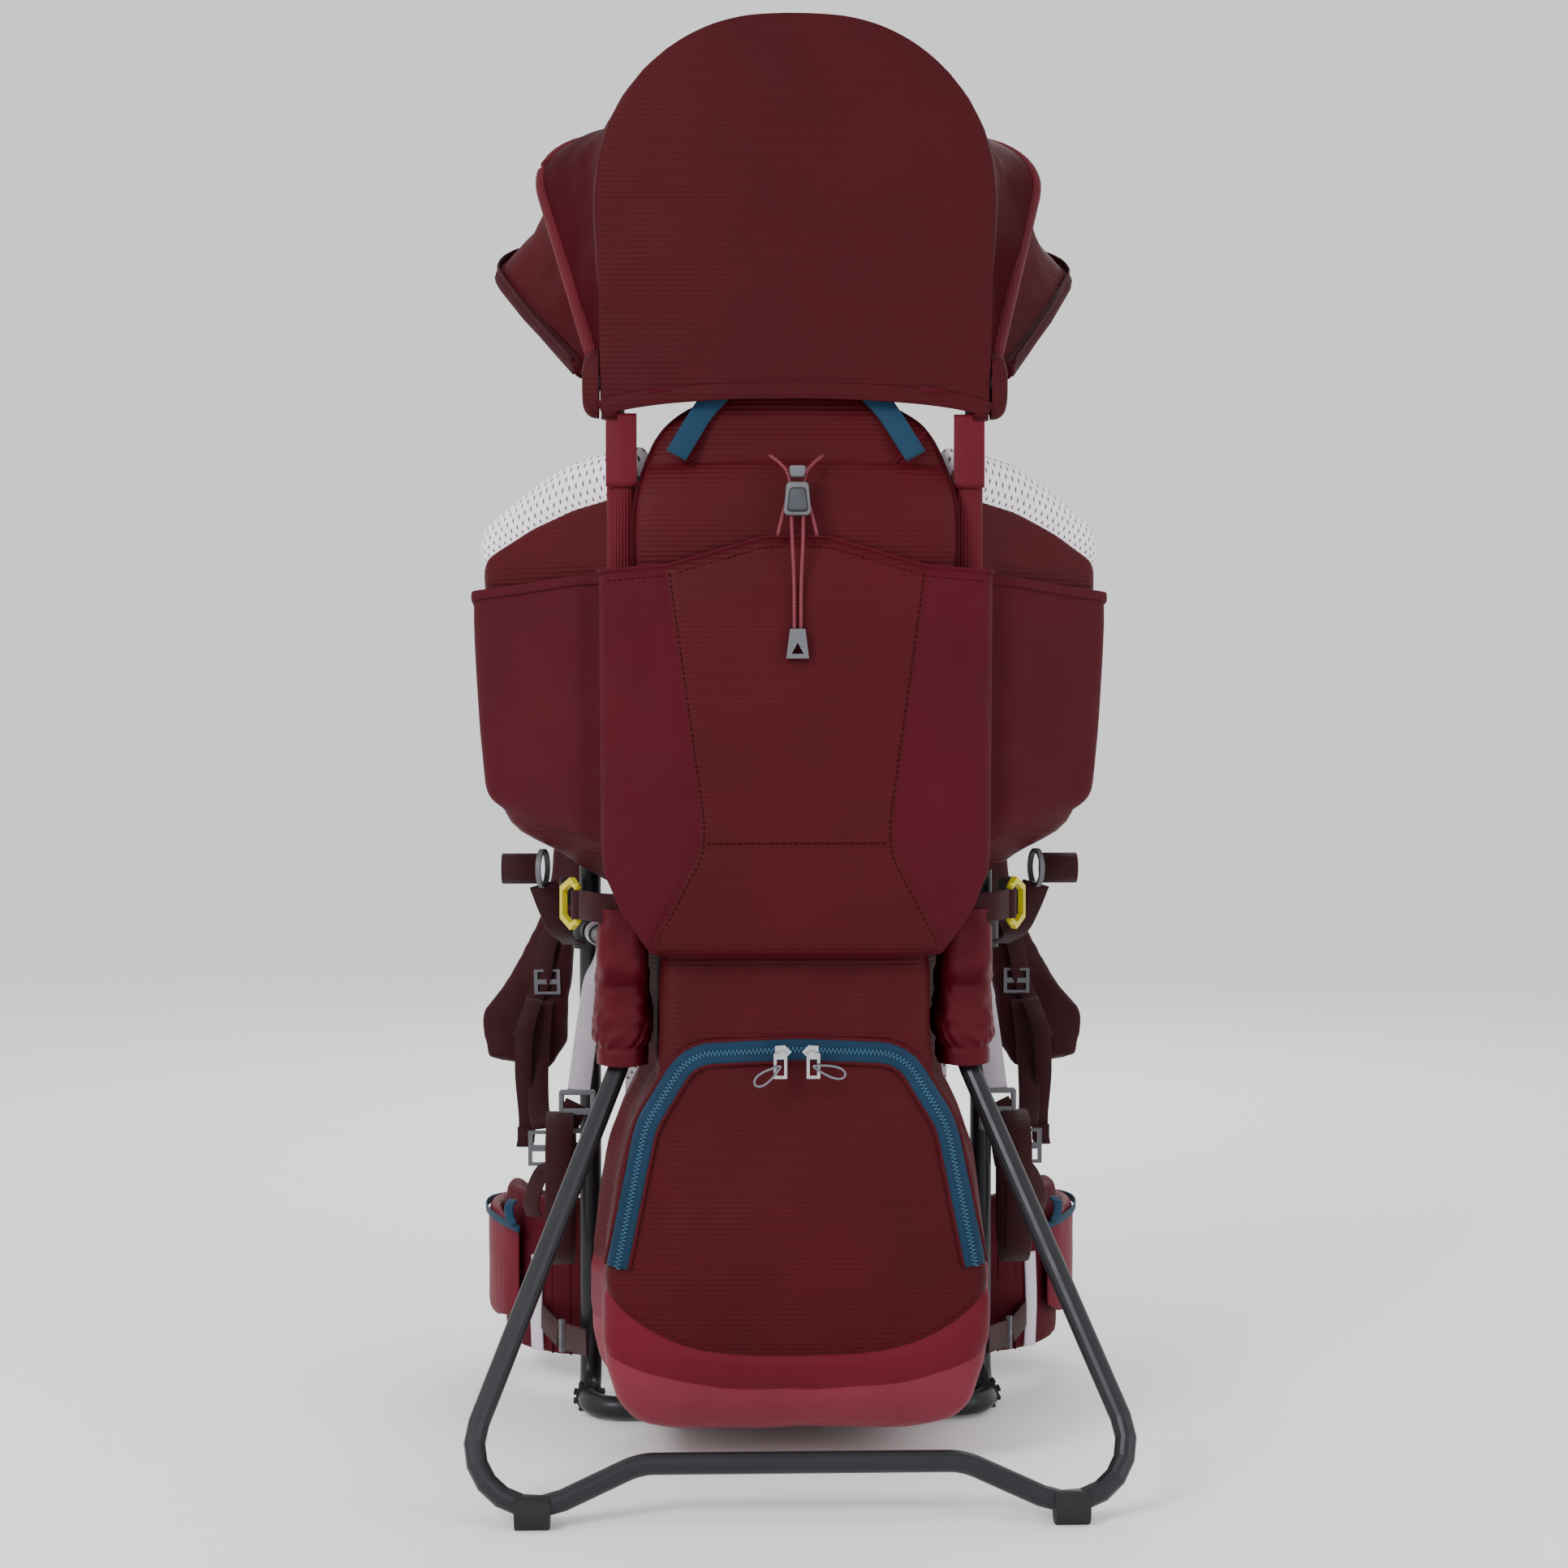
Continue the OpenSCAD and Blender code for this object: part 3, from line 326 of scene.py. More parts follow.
def resample(path, count, share=None):
    """count points evenly along a path, or at the shares of its length that are given."""
    path = np.asarray(path, float)
    along = travelled(path)
    at = (np.linspace(0, 1, count) if share is None else np.asarray(share)) * along[-1]
    return np.stack([np.interp(at, along, column) for column in path.T], 1)


def curve(points, count=24):
    """A Catmull-Rom curve through the points, evenly resampled."""
    p = np.asarray(points, float)
    p = np.vstack([2 * p[0] - p[1], p, 2 * p[-1] - p[-2]])
    out = []
    for i in range(1, len(p) - 2):
        t = np.linspace(0, 1, 9)[:-1, None]
        out.append(0.5 * (2 * p[i] + (p[i + 1] - p[i - 1]) * t
                          + (2 * p[i - 1] - 5 * p[i] + 4 * p[i + 1] - p[i + 2]) * t ** 2
                          + (3 * p[i] - p[i - 1] - 3 * p[i + 1] + p[i + 2]) * t ** 3))
    return resample(np.vstack(out + [p[-2:-1]]), count)


def look_up(table, at, column=1):
    """A column of a table, between its rows, at the given first values."""
    return np.interp(at, table[:, 0], table[:, column])


def away_from(centre, points):
    """Unit vectors in plan from a centre to each point."""
    return unit((points - centre) * PLAN)


def wrinkle(points, scale, seed, stretch=(1, 1, 1)):
    """Smooth noise from -1 to 1 at each point, in millimetres."""
    scaled = np.asarray(points, float).reshape(-1, 3) * np.array(stretch) / scale + seed * 17.3
    values = [noise.noise(Vector(p)) for p in scaled]
    return np.array(values).reshape(np.asarray(points).shape[:-1])


def smoothstep(x, low, high):
    t = np.clip((np.asarray(x, float) - low) / (high - low), 0, 1)
    return t * t * (3 - 2 * t)


def finish_piece(obj, material, body, replaces=()):
    for m in material if isinstance(material, (list, tuple)) else [material]:
        obj.data.materials.append(M[m])
    if body:
        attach(obj, body)
    if replaces:
        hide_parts(*([replaces] if isinstance(replaces, str) else replaces))
    return obj


def make(name, points, faces, material, body, slot, replaces=(), uvs=None, tags=None,
         thick=0.0, offset=-1.0, subdivide=0):
    """A piece from points in millimetres. tags gives each face's material."""
    mesh = bpy.data.meshes.new(name)
    mesh.from_pydata([tuple(p * MM) for p in points], [], [tuple(f) for f in faces])
    if uvs is not None:
        layer = mesh.uv_layers.new(name="UVMap")
        flat = np.array(uvs, float)[[loop.vertex_index for loop in mesh.loops]] * MM
        layer.data.foreach_set("uv", flat.ravel())
    if tags is not None:
        mesh.polygons.foreach_set("material_index", list(tags))
    mesh.update()
    mesh.validate()
    mesh.polygons.foreach_set("use_smooth", [True] * len(mesh.polygons))
    obj = bpy.data.objects.new(name, mesh)
    SCENE.collection.objects.link(obj)
    if thick:
        modifier = obj.modifiers.new("thickness", "SOLIDIFY")
        modifier.thickness = thick * MM
        modifier.offset = offset
    if subdivide:
        modifier = obj.modifiers.new("smooth", "SUBSURF")
        modifier.levels = modifier.render_levels = subdivide
    return finish_piece(obj, material, body, replaces)


def sheet_faces(rows, columns, closed=False, start=0, reverse=False):
    """Faces of a grid of rows by columns; closed joins each row's ends."""
    faces = []
    for i in range(rows - 1):
        for k in range(columns if closed else columns - 1):
            a, b = start + i * columns + k, start + i * columns + (k + 1) % columns
            quad = [a, b, b + columns, a + columns]
            faces.append(quad[::-1] if reverse else quad)
    return faces


def tube_faces(count, n):
    """Faces of a tube of count rings of n points, closed at both ends."""
    ends = [list(range(n))[::-1], [(count - 1) * n + k for k in range(n)]]
    return sheet_faces(count, n, closed=True) + ends


def slab_faces(rows, columns):
    """Faces of two like grids, front then back, and of the wall between their edges."""
    border = ([k for k in range(columns)] + [i * columns + columns - 1 for i in range(1, rows)]
              + [(rows - 1) * columns + k for k in range(columns - 2, -1, -1)]
              + [i * columns for i in range(rows - 2, 0, -1)])
    size = rows * columns
    wall = [[b, a, a + size, b + size] for a, b in zip(border, border[1:] + border[:1])]
    return sheet_faces(rows, columns) + sheet_faces(rows, columns, start=size, reverse=True) + wall


def floor_faces(n, first, rings):
    """Faces of a floor below a wall's first ring, whose own rings of n points start at first."""
    faces = [[(k + 1) % n, k, first + k, first + (k + 1) % n] for k in range(n)]
    faces += sheet_faces(rings, n, True, first, reverse=True)
    return faces + [[first + (rings - 1) * n + k for k in range(n)][::-1]]


def grid_uv(grid):
    """UVs in millimetres: length along each row from its middle, and along the middle column."""
    grid = np.asarray(grid, float)
    along = np.concatenate([np.zeros((grid.shape[0], 1)),
                            np.cumsum(np.linalg.norm(np.diff(grid, axis=1), axis=2), 1)], 1)
    along -= along[:, [grid.shape[1] // 2]]
    up = travelled(grid[:, grid.shape[1] // 2])
    return np.stack([along, np.repeat(up[:, None], grid.shape[1], 1)], 2).reshape(-1, 2)


def strap_section(width, thick):
    """A flat strap's section with rounded edges, anticlockwise from its right edge."""
    r = thick / 2
    points = []
    for side in (1, -1):
        for k in range(4):
            a = math.pi * (k / 3 - 0.5 * side)
            points.append((side * (width / 2 - r) + r * math.cos(a), r * math.sin(a)))
    return np.array(points)


def strap_mesh(path, width, across, thick=1.6):
    """Points, faces and UVs of one strap, whose width lies along across."""
    path = np.asarray(path, float)
    run = unit(np.gradient(path, axis=0))
    across = np.broadcast_to(np.asarray(across, float), path.shape)
    side = unit(across - (across * run).sum(1, keepdims=True) * run)
    normal = np.cross(run, side)
    widths = np.broadcast_to(np.asarray(width, float), (len(path),))
    points, uvs = [], []
    for i, along in enumerate(travelled(path)):
        section = strap_section(widths[i], thick)
        points.append(path[i] + section[:, :1] * side[i] + section[:, 1:] * normal[i])
        uvs.append(np.stack([np.full(len(section), along), section[:, 0]], 1))
    return np.vstack(points), tube_faces(len(path), len(points[0])), np.vstack(uvs)


def tube_mesh(path, radius, sides=8):
    """A thin round cord or piping along a path."""
    path = np.asarray(path, float)
    run = unit(np.gradient(path, axis=0))
    pick = np.array([0.31, 0.52, 0.79])
    side = unit(pick - (run @ pick)[:, None] * run)
    normal = np.cross(run, side)
    angles = np.arange(sides) / sides * TAU
    ring = np.cos(angles)[None, :, None] * side[:, None] + np.sin(angles)[None, :, None] * normal[:, None]
    uvs = np.stack([np.repeat(travelled(path), sides), np.tile(angles * 2, len(path))], 1)
    return (path[:, None] + radius * ring).reshape(-1, 3), tube_faces(len(path), sides), uvs


def mirrored(part):
    points, faces, uvs = part
    return points * (-1, 1, 1), [f[::-1] for f in faces], uvs


def both_sides(parts):
    return [*parts, *(mirrored(p) for p in parts)]


def assemble(name, parts, material, body, slot, replaces=(), **more):
    """One piece from several meshes' points, faces and UVs."""
    faces, start = [], 0
    for points, part_faces, _ in parts:
        faces += [[start + k for k in face] for face in part_faces]
        start += len(points)
    return make(name, np.vstack([p[0] for p in parts]), faces, material, body, slot, replaces,
                uvs=np.vstack([p[2] for p in parts]), **more)


def straps(name, runs, material, body, slot, replaces=(), both=False):
    """One piece made of straps: each run is a path, width, across, and perhaps a thickness."""
    parts = [strap_mesh(*run) for run in runs]
    return assemble(name, both_sides(parts) if both else parts, material, body, slot, replaces)


# ------------------------------------------------------------------ hard parts

FINISH = {
    "tube": ["main_frame_tube", "side_arms", "rear_uprights", "kickstand_tube", "canopy_rear_hoop",
             "canopy_mid_hoop", "canopy_front_hoop"],
    "black": ["frame_brackets", "kickstand_fittings", "canopy_hubs", "harness_buckle",
              "belt_buckle_socket", "sternum_plug"],
    "rubber": ["base_pads", "corner_pads", "kickstand_feet"],
    "grey": ["cord_pull", "frame_strap_locks", "shoulder_locks", "cord_lock_body", "cord_lock_button"],
    "metal": ["pivot_pins", "zip_slider_left", "zip_slider_right"],
    "lime": ["side_hook_left", "side_hook_right"],
    "button": ["harness_button"],
    "cord": ["bungee_cord"],
}
for finish, names in FINISH.items():
    for node in names:
        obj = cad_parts[node]
        obj.data.materials.clear()
        obj.data.materials.append(M[finish])

# ------------------------------------------------------------------ padded pieces, swelled as cloth

PADS = [
    # name, node, material, slot, body, voxel mm, pressure, cap mm, fill, start shrink mm
    ("back_padding", "back_pads", "mesh", "mesh", "frame", 6, 4, 5, 0.7, 2.0),
    ("lumbar_padding", "lumbar_pad", "mesh", "mesh", "frame", 6, 4, 6, 0.75, 2.5),
    ("chin_pad", "drool_pad", "lining", "mesh", "frame", 5, 4, 5, 0.6, 2.0),
    ("seat_cushion", "seat_pad", "black_cloth", "padded", "seat", 5, 4, 5, 0.6, 2.0),
    ("yoke_padding", "shoulder_yoke", "stretch", "padded", "shoulder_harness", 5, 4, 5, 0.65, 2.0),
    ("hip_padding_left", "hip_fin_left", "stretch", "padded", "frame", 5, 4, 4, 0.7, 2.0),
    ("hip_padding_right", "hip_fin_right", "stretch", "padded", "frame", 5, 4, 4, 0.7, 2.0),
    ("shoulder_padding_left", "shoulder_strap_left", "hip", "padded", "shoulder_harness", 5, 4, 5, 0.7, 2.0),
    ("shoulder_padding_right", "shoulder_strap_right", "hip", "padded", "shoulder_harness", 5, 4, 5, 0.7, 2.0),
    ("hip_pouches", "hip_pockets", "band", "red_lining", "frame", 4, 3, 3, 0.5, 1.6),
]

# Pads that slide past each other: how far each may stand proud of its CAD box in -Y and +Y, in metres
FLAT_FACES = {"back_padding": (0.001, 0.0), "yoke_padding": (0.0, 0.003)}


def remeshed(name, node, voxel, shrink):
    """A copy of a CAD node's surface in even quads, drawn in a little."""
    source = bpy.data.objects.new(name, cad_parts[node].data.copy())
    SCENE.collection.objects.link(source)
    source.data.materials.clear()
    modifier = source.modifiers.new("remesh", "REMESH")
    modifier.mode = "VOXEL"
    modifier.voxel_size = voxel * MM
    bpy.context.view_layer.update()
    evaluated = source.evaluated_get(bpy.context.evaluated_depsgraph_get())
    mesh = bpy.data.meshes.new_from_object(evaluated)
    source.modifiers.clear()
    source.data = mesh
    count = len(mesh.vertices)
    co, no = np.zeros(count * 3), np.zeros(count * 3)
    mesh.vertices.foreach_get("co", co)
    mesh.vertices.foreach_get("normal", no)
    mesh.vertices.foreach_set("co", co - no * shrink * MM)
    mesh.update()
    return source


def vertices_of(obj):
    co = np.zeros(len(obj.data.vertices) * 3)
    obj.data.vertices.foreach_get("co", co)
    return co.reshape(-1, 3)


def set_vertices(obj, co):
    obj.data.vertices.foreach_set("co", np.ascontiguousarray(co).ravel())
    obj.data.update()


def swell(objects):
    """Cloth with pressure and no gravity, for twenty frames; each point moves no further than its cap."""
    for obj, pressure, cap in objects:
        modifier = obj.modifiers.new("cloth", "CLOTH")
        modifier.settings.quality = 4
        modifier.settings.use_pressure = True
        modifier.settings.uniform_pressure_force = pressure
        modifier.settings.effector_weights.gravity = 0
        modifier.settings.tension_stiffness = modifier.settings.compression_stiffness = 18
        modifier.settings.bending_stiffness = 0.6
    for number in range(1, 21):
        SCENE.frame_set(number)
    graph = bpy.context.evaluated_depsgraph_get()
    found = []
    for obj, pressure, cap in objects:
        mesh = obj.evaluated_get(graph).to_mesh()
        co = np.zeros(len(mesh.vertices) * 3)
        mesh.vertices.foreach_get("co", co)
        found.append(co.reshape(-1, 3).copy())
        obj.evaluated_get(graph).to_mesh_clear()
    for (obj, pressure, cap), after in zip(objects, found):
        obj.modifiers.clear()
        before = vertices_of(obj)
        move = after - before
        size = np.maximum(np.linalg.norm(move, axis=1, keepdims=True), 1e-9)
        set_vertices(obj, before + move / size * np.minimum(size, cap * MM))
    SCENE.frame_set(1)


pads = {p[0]: remeshed(p[0], p[1], p[5], p[9]) for p in PADS}
swell([(pads[p[0]], p[6], p[7]) for p in PADS])
for name, node, material, slot, body, voxel, pressure, cap, fill, shrink in PADS:
    piece = pads[name]
    co = vertices_of(piece)
    normals = np.zeros(co.size)
    piece.data.vertices.foreach_get("normal", normals)
    soft = wrinkle(co / MM, 26, len(name))[:, None] * 0.5 * MM
    co += normals.reshape(-1, 3) * soft
    if name in FLAT_FACES:
        low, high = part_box(node)
        front, back = FLAT_FACES[name]
        co[:, 1] = np.clip(co[:, 1], low[1] - front, high[1] + back)
    set_vertices(piece, co)
    piece.data.polygons.foreach_set("use_smooth", [True] * len(piece.data.polygons))
    if material != "mesh":
        relax = piece.modifiers.new("relax", "SMOOTH")
        relax.factor = 0.5
        relax.iterations = 9
    modifier = piece.modifiers.new("smooth", "SUBSURF")
    modifier.levels = modifier.render_levels = 1
    finish_piece(piece, material, body, node)

# ------------------------------------------------------------------ canopy

HUB_Y, HUB_Z = -125, 735
REAR_HOOP = ([(122, 8), (129, 110), (126, 232), (0, 236)], (200, 112, 300, 112, 200), -3.6)
MID_HOOP = ([(130.4, 8), (151, 95), (184, 232), (0, 258)], (120, 42, 400, 42, 120), 37)
FRONT_HOOP = ([(137, 8), (186, 150), (230, 296), (0, 342)], (200, 66, 400, 66, 200), 64)


def hoop_path(hoop, puff, count, tilt=None):
    """Points along a hoop, puff outside its own line, in space."""
    half, radii, own_tilt = hoop
    flat = resample(rounded(half + [(-x, d) for x, d in half[2::-1]], radii, 8)[:, :2], count)
    flat = (flat + puff * unit(flat - (0, 90)))[::-1]
    a = math.radians(own_tilt if tilt is None else tilt)
    return np.stack([flat[:, 0], HUB_Y + flat[:, 1] * math.sin(a), HUB_Z + flat[:, 1] * math.cos(a)], 1)


def hoop_gusset(hoop_a, hoop_b, count, steps, puff, sag, folds, seed, shift):
    """A sheet drawn tight between two hoops: rows run from left to right, steps from a to b."""
    a = hoop_path(hoop_a, puff, count, hoop_a[2] + shift[0])
    b = hoop_path(hoop_b, puff, count, hoop_b[2] + shift[1])
    t = np.linspace(0, 1, steps)[:, None, None]
    sheet = a[None] * (1 - t) + b[None] * t
    inward = unit(np.array([0, HUB_Y + 45, HUB_Z + 70]) - sheet)
    soft = wrinkle(sheet, 60, seed) + 0.6 * wrinkle(sheet, 24, seed + 3)
    ends = smoothstep(np.minimum(np.arange(count), np.arange(count)[::-1]), 0, count * 0.12)[None, :]
    return sheet + inward * (np.sin(np.pi * t[..., 0]) * (sag + folds * soft) * ends)[..., None]


# The rear panel: rows from the lower hem to the apex, and its rod tunnel round the edge
outline = rounded([(131, -28), (133, 110), (130, 237), (0, 242), (-130, 237), (-133, 110), (-131, -28)],
                  (600, 116, 300, 116, 600), 14)[:, :2]
half = resample(outline[: len(outline) // 2 + 1], 44)
COLUMNS = 41
rows = []
for x, height in half[:-1]:
    across = np.linspace(-1, 1, COLUMNS)
    xs = across * x
    hem = 16 * np.sqrt(np.clip(1 - (xs / 134) ** 2, 0, 1)) * max(0, 1 - (height + 28) / 70)
    out = 7.4 + 5 * (1 - across ** 2) * smoothstep(242 - height, 0, 60)
    rows.append(np.stack([xs, -out, height + hem], 1))
local = np.array(rows)
lean = math.radians(-3.6)
panel = np.stack([local[..., 0], HUB_Y + local[..., 1] * math.cos(lean) + local[..., 2] * math.sin(lean),
                  HUB_Z - local[..., 1] * math.sin(lean) + local[..., 2] * math.cos(lean)], 2)
edge_room = smoothstep(1 - np.abs(np.linspace(-1, 1, COLUMNS)), 0, 0.25)[None, :]
panel[..., 1] -= edge_room * (1.3 * wrinkle(panel, 95, 2, (1, 1, 0.6))
                              + 0.5 * wrinkle(panel, 40, 5, (0.4, 1, 1.6)))
low = smoothstep(HUB_Z + 60 - panel[..., 2], 0, 75)
panel[..., 1] -= low * edge_room * 1.6 * np.abs(wrinkle(panel, 34, 8, (1, 1, 0.5)))
rear_panel = make("canopy_back_cloth", panel.reshape(-1, 3), sheet_faces(*panel.shape[:2]), "canopy",
                  "canopy_rear", "canopy_cloth", "canopy_rear_panel", uvs=grid_uv(panel), thick=1.0,
                  subdivide=1)

tunnel = hoop_path(REAR_HOOP, 0, 90)
tunnel = np.vstack([[(124, HUB_Y - 1, HUB_Z - 26)], tunnel[::-1], [(-124, HUB_Y - 1, HUB_Z - 26)]])
assemble("canopy_rear_tunnel", [tube_mesh(tunnel, 6.6, 12)], "canopy", "canopy_rear", "canopy_cloth")

# Hem of the rear panel: a turned edge with bar tacks at its ends
hem_line = resample(panel[0] + (0, -0.8, 0.5), 50) + (0, 0, 5)
straps("canopy_rear_hem", [(hem_line, 11, (0, -0.1, 1), 1.4)], "canopy", "canopy_rear", "canopy_cloth")
tacks = []
for sx in (-1, 1):
    for k in range(9):
        x = sx * (84 + 1.9 * k)
        z = np.interp(x, panel[0][:, 0], panel[0][:, 2]) + 10
        y = np.interp(x, panel[0][:, 0], panel[0][:, 1]) - 1.9
        tacks.append(tube_mesh([(x, y, z - 1.6), (x + sx * 1.2, y - 0.4, z), (x, y, z + 1.6)], 0.45, 6))
assemble("canopy_bar_tacks", tacks, "band", "canopy_rear", "red_lining")

COUNT = 96
middle = hoop_gusset(REAR_HOOP, MID_HOOP, COUNT, 17, 5.2, 8, 6, 1, (1.5, -0.5))
mid_cloth = make("canopy_mid_cloth", middle.reshape(-1, 3), sheet_faces(17, COUNT), "gusset", None,
                 "canopy_cloth", "canopy_mid_panel", uvs=grid_uv(middle), thick=0.8, offset=0, subdivide=1)
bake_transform(mid_cloth)

front = hoop_gusset(MID_HOOP, FRONT_HOOP, COUNT, 15, 5.2, 17, 5, 4, (0.8, -0.4))
front_cloth = make("canopy_front_cloth", front.reshape(-1, 3), sheet_faces(15, COUNT), "front_gusset", None,
                   "canopy_cloth", "canopy_front_panel", uvs=grid_uv(front), thick=0.8, offset=0,
                   subdivide=1)
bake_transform(front_cloth)

assemble("canopy_mid_channel", [tube_mesh(hoop_path(MID_HOOP, 1.2, 110)[2:-2], 6.6, 12)], "channel",
         "canopy_mid", "canopy_cloth")
assemble("canopy_front_hem", [tube_mesh(hoop_path(FRONT_HOOP, 1.0, 120)[2:-2], 6.2, 12)], "hem",
         "canopy_front", "canopy_cloth")
straps("canopy_front_border", [(hoop_path(FRONT_HOOP, 5.6, 120, 63.2)[3:-3], 12, (0, -0.44, 0.9), 1.2)], "hem",
       "canopy_front", "canopy_cloth")

# Fabric caps over the hubs
covers = []
for sign in (1, -1):
    rings = []
    for a in np.linspace(0, 1, 12) * math.pi / 2:
        shrink = math.cos(a) ** 0.45
        rings.append([(sign * (132 + 11.5 * math.sin(a)), HUB_Y + 3 + 11.5 * math.cos(b) * shrink,
                       HUB_Z - 2 + 23 * math.sin(b) * shrink) for b in TAU * np.arange(30) / 30])
    rings = np.array(rings)
    rings[..., 1:] += 0.9 * wrinkle(rings, 14, 81)[..., None]
    covers.append((rings.reshape(-1, 3), sheet_faces(12, 30, closed=True, reverse=sign > 0),
                   rings.reshape(-1, 3)[:, 1:]))
assemble("canopy_hub_covers", covers, "canopy", "canopy_rear", "canopy_cloth")

# ------------------------------------------------------------------ cabin

# Height, rear half width, side half width
CABIN = np.array([(392, 92, 128), (404, 106, 150), (417, 112, 168), (430, 115, 200), (450, 116, 207),
                  (500, 117, 212), (560, 118, 216), (640, 118, 219), (720, 118, 221)], float)
# Y and height of the rim's two edges
RIM_LOW = np.array([(-160, 690), (-110, 662), (-80, 653), (-60, 641), (-42, 628), (-20, 611), (0, 600),
                    (80, 590)], float)
RIM_HIGH = np.array([(-160, 716), (-110, 694), (-80, 685), (-60, 670), (-42, 652), (-20, 634), (0, 622),
                     (80, 610)], float)
CENTRE = (0, -32, 0)
RING = 132
WALL_Z = 502


def closed_outline(half_points, r, count):
    """count points round a symmetric rounded outline, from the middle of its rear, anticlockwise."""
    points = [np.array(p, float) for p in half_points + [(-x, y) for x, y in half_points[::-1]]]
    ring = [(0, points[0][1])]
    for i in range(len(points)):
        ring += corner(points[i - 1], points[i], points[(i + 1) % len(points)], r, 5)
    ring.append((0, points[0][1]))
    return resample(np.array(ring), count + 1)[:-1]


def cabin_ring(z, grow, count=RING):
    rear, side = look_up(CABIN, z), look_up(CABIN, z, 2)
    ring = closed_outline([(rear + grow * 0.6, -108 - grow), (side + grow, -34 - grow * 0.4),
                           (side + grow, 22), (side - 26 + grow, 44)], 13, count)
    return np.column_stack([ring, np.full(count, z)])


def cabin_line(heights, grow):
    """A ring of the cabin whose points each have a height of their own."""
    return np.array([cabin_ring(z, grow)[k] for k, z in enumerate(heights)])


top_y = cabin_ring(640, 0)[:, 1]
rim_z = look_up(RIM_LOW, top_y)
shell = [cabin_ring(z, 0) for z in (392, 394, 398, 403, 408, 416, 428, 442, 456, 470, 479, 486, 494, WALL_Z)]
shell += [cabin_line(WALL_Z + share * (rim_z - WALL_Z), 0) for share in np.linspace(0, 1, 14)[1:]]
shell = np.array(shell)
folds = 1.6 * wrinkle(shell, 60, 11) + 0.8 * wrinkle(shell, 26, 12)
shell += away_from(CENTRE, shell) * (smoothstep(shell[..., 2], 395, 440) * folds)[..., None]
faces = []
for quad in sheet_faces(len(shell), RING, closed=True):
    x, y, z = shell.reshape(-1, 3)[quad].mean(0)
    leg_opening = abs(x) > 98 and y > 4 and 408 < z < 486
    if not leg_opening:
        faces.append(quad)
floor_rings = [shell[0] * (s, s, 1) + (0, -32 * (1 - s), 0) for s in (0.98, 0.8, 0.55, 0.3)]
points = np.vstack([shell.reshape(-1, 3)] + floor_rings)
faces += floor_faces(RING, len(shell) * RING, len(floor_rings))
make("cabin_cloth", points, faces, "ripstop", "frame", "ripstop", "cabin_shell", thick=9, subdivide=1)

# Binding round each leg opening
binding = []
low, mid, high = (look_up(CABIN, z, 2) for z in (408, 447, 486))
for sx in (-1, 1):
    loop = [(sx * (low + 0.5), 5, 409), (sx * (mid + 0.5), 4, 447), (sx * (high + 0.5), 5, 485),
            (sx * (high - 4), 34, 486), (sx * 150, 44, 486), (sx * 102, 44, 485), (sx * 99, 44, 447),
            (sx * 101, 44, 409), (sx * 130, 44, 408), (sx * (low - 2), 34, 408), (sx * (low + 0.5), 6, 408)]
    binding.append(tube_mesh(curve(loop, 70), 2.6))
assemble("leg_opening_binding", binding, "dark_tape", "frame", "dark_webbing")

# The padded mesh rim: a rounded roll that follows the cabin's sloping top, open behind the backrest
ring_low, ring_high = cabin_line(rim_z - 3, 1.5), cabin_line(look_up(RIM_HIGH, top_y), 1.5)
keep = ~((np.abs(ring_low[:, 0]) < 100) & (ring_low[:, 1] < -90))
outer_low, outer_high = ring_low[keep], ring_high[keep]
inward = -away_from(CENTRE, outer_low)
ROLL, ROLL_RADIUS = 20, 6.4
rolls = []
for a in TAU * np.arange(ROLL) / ROLL:
    up = 0.5 - 0.5 * math.cos(a)
    depth = ROLL_RADIUS - ROLL_RADIUS * math.sin(a)
    rolls.append(outer_low * (1 - up) + outer_high * up + inward * depth)
rolls = np.array(rolls).transpose(1, 0, 2)
uvs = np.stack([np.repeat(travelled(outer_high), ROLL), np.tile(4.2 * np.arange(1, ROLL + 1), len(rolls))], 1)
rim = make("cabin_rim_padding", rolls.reshape(-1, 3), [f[::-1] for f in tube_faces(len(rolls), ROLL)],
           "rim_mesh", "frame", "mesh", "cabin_rim", uvs=uvs, subdivide=1)

# ------------------------------------------------------------------ side pockets

# Y and height of the pockets' two edges
SIDE_LOW = np.array([(-140, 404), (-120, 412), (-60, 424), (-12, 440), (0, 492), (60, 500)], float)
SIDE_HIGH = np.array([(-140, 612), (-60, 600), (0, 594), (60, 588)], float)
SIDE_ROWS, SIDE_COLUMNS = 26, 30


def pocket_grid(grow):
    """The right pocket's face, grow outside the cabin, in rows from its low edge up."""
    def face(z):
        ring = cabin_ring(z, grow, 400)[:200]
        start, end = np.argmax(ring[:, 0] >= 128.8), np.argmax(ring[:, 1] >= 41)
        return resample(ring[start:end], SIDE_COLUMNS)

    grid = []
    for v in np.linspace(0, 1, SIDE_ROWS):
        y = face(404 + v * 208)[:, 1]
        low, high = look_up(SIDE_LOW, y), look_up(SIDE_HIGH, y)
        grid.append([face(z)[k] for k, z in enumerate(low + v * (high - low))])
    return np.array(grid)


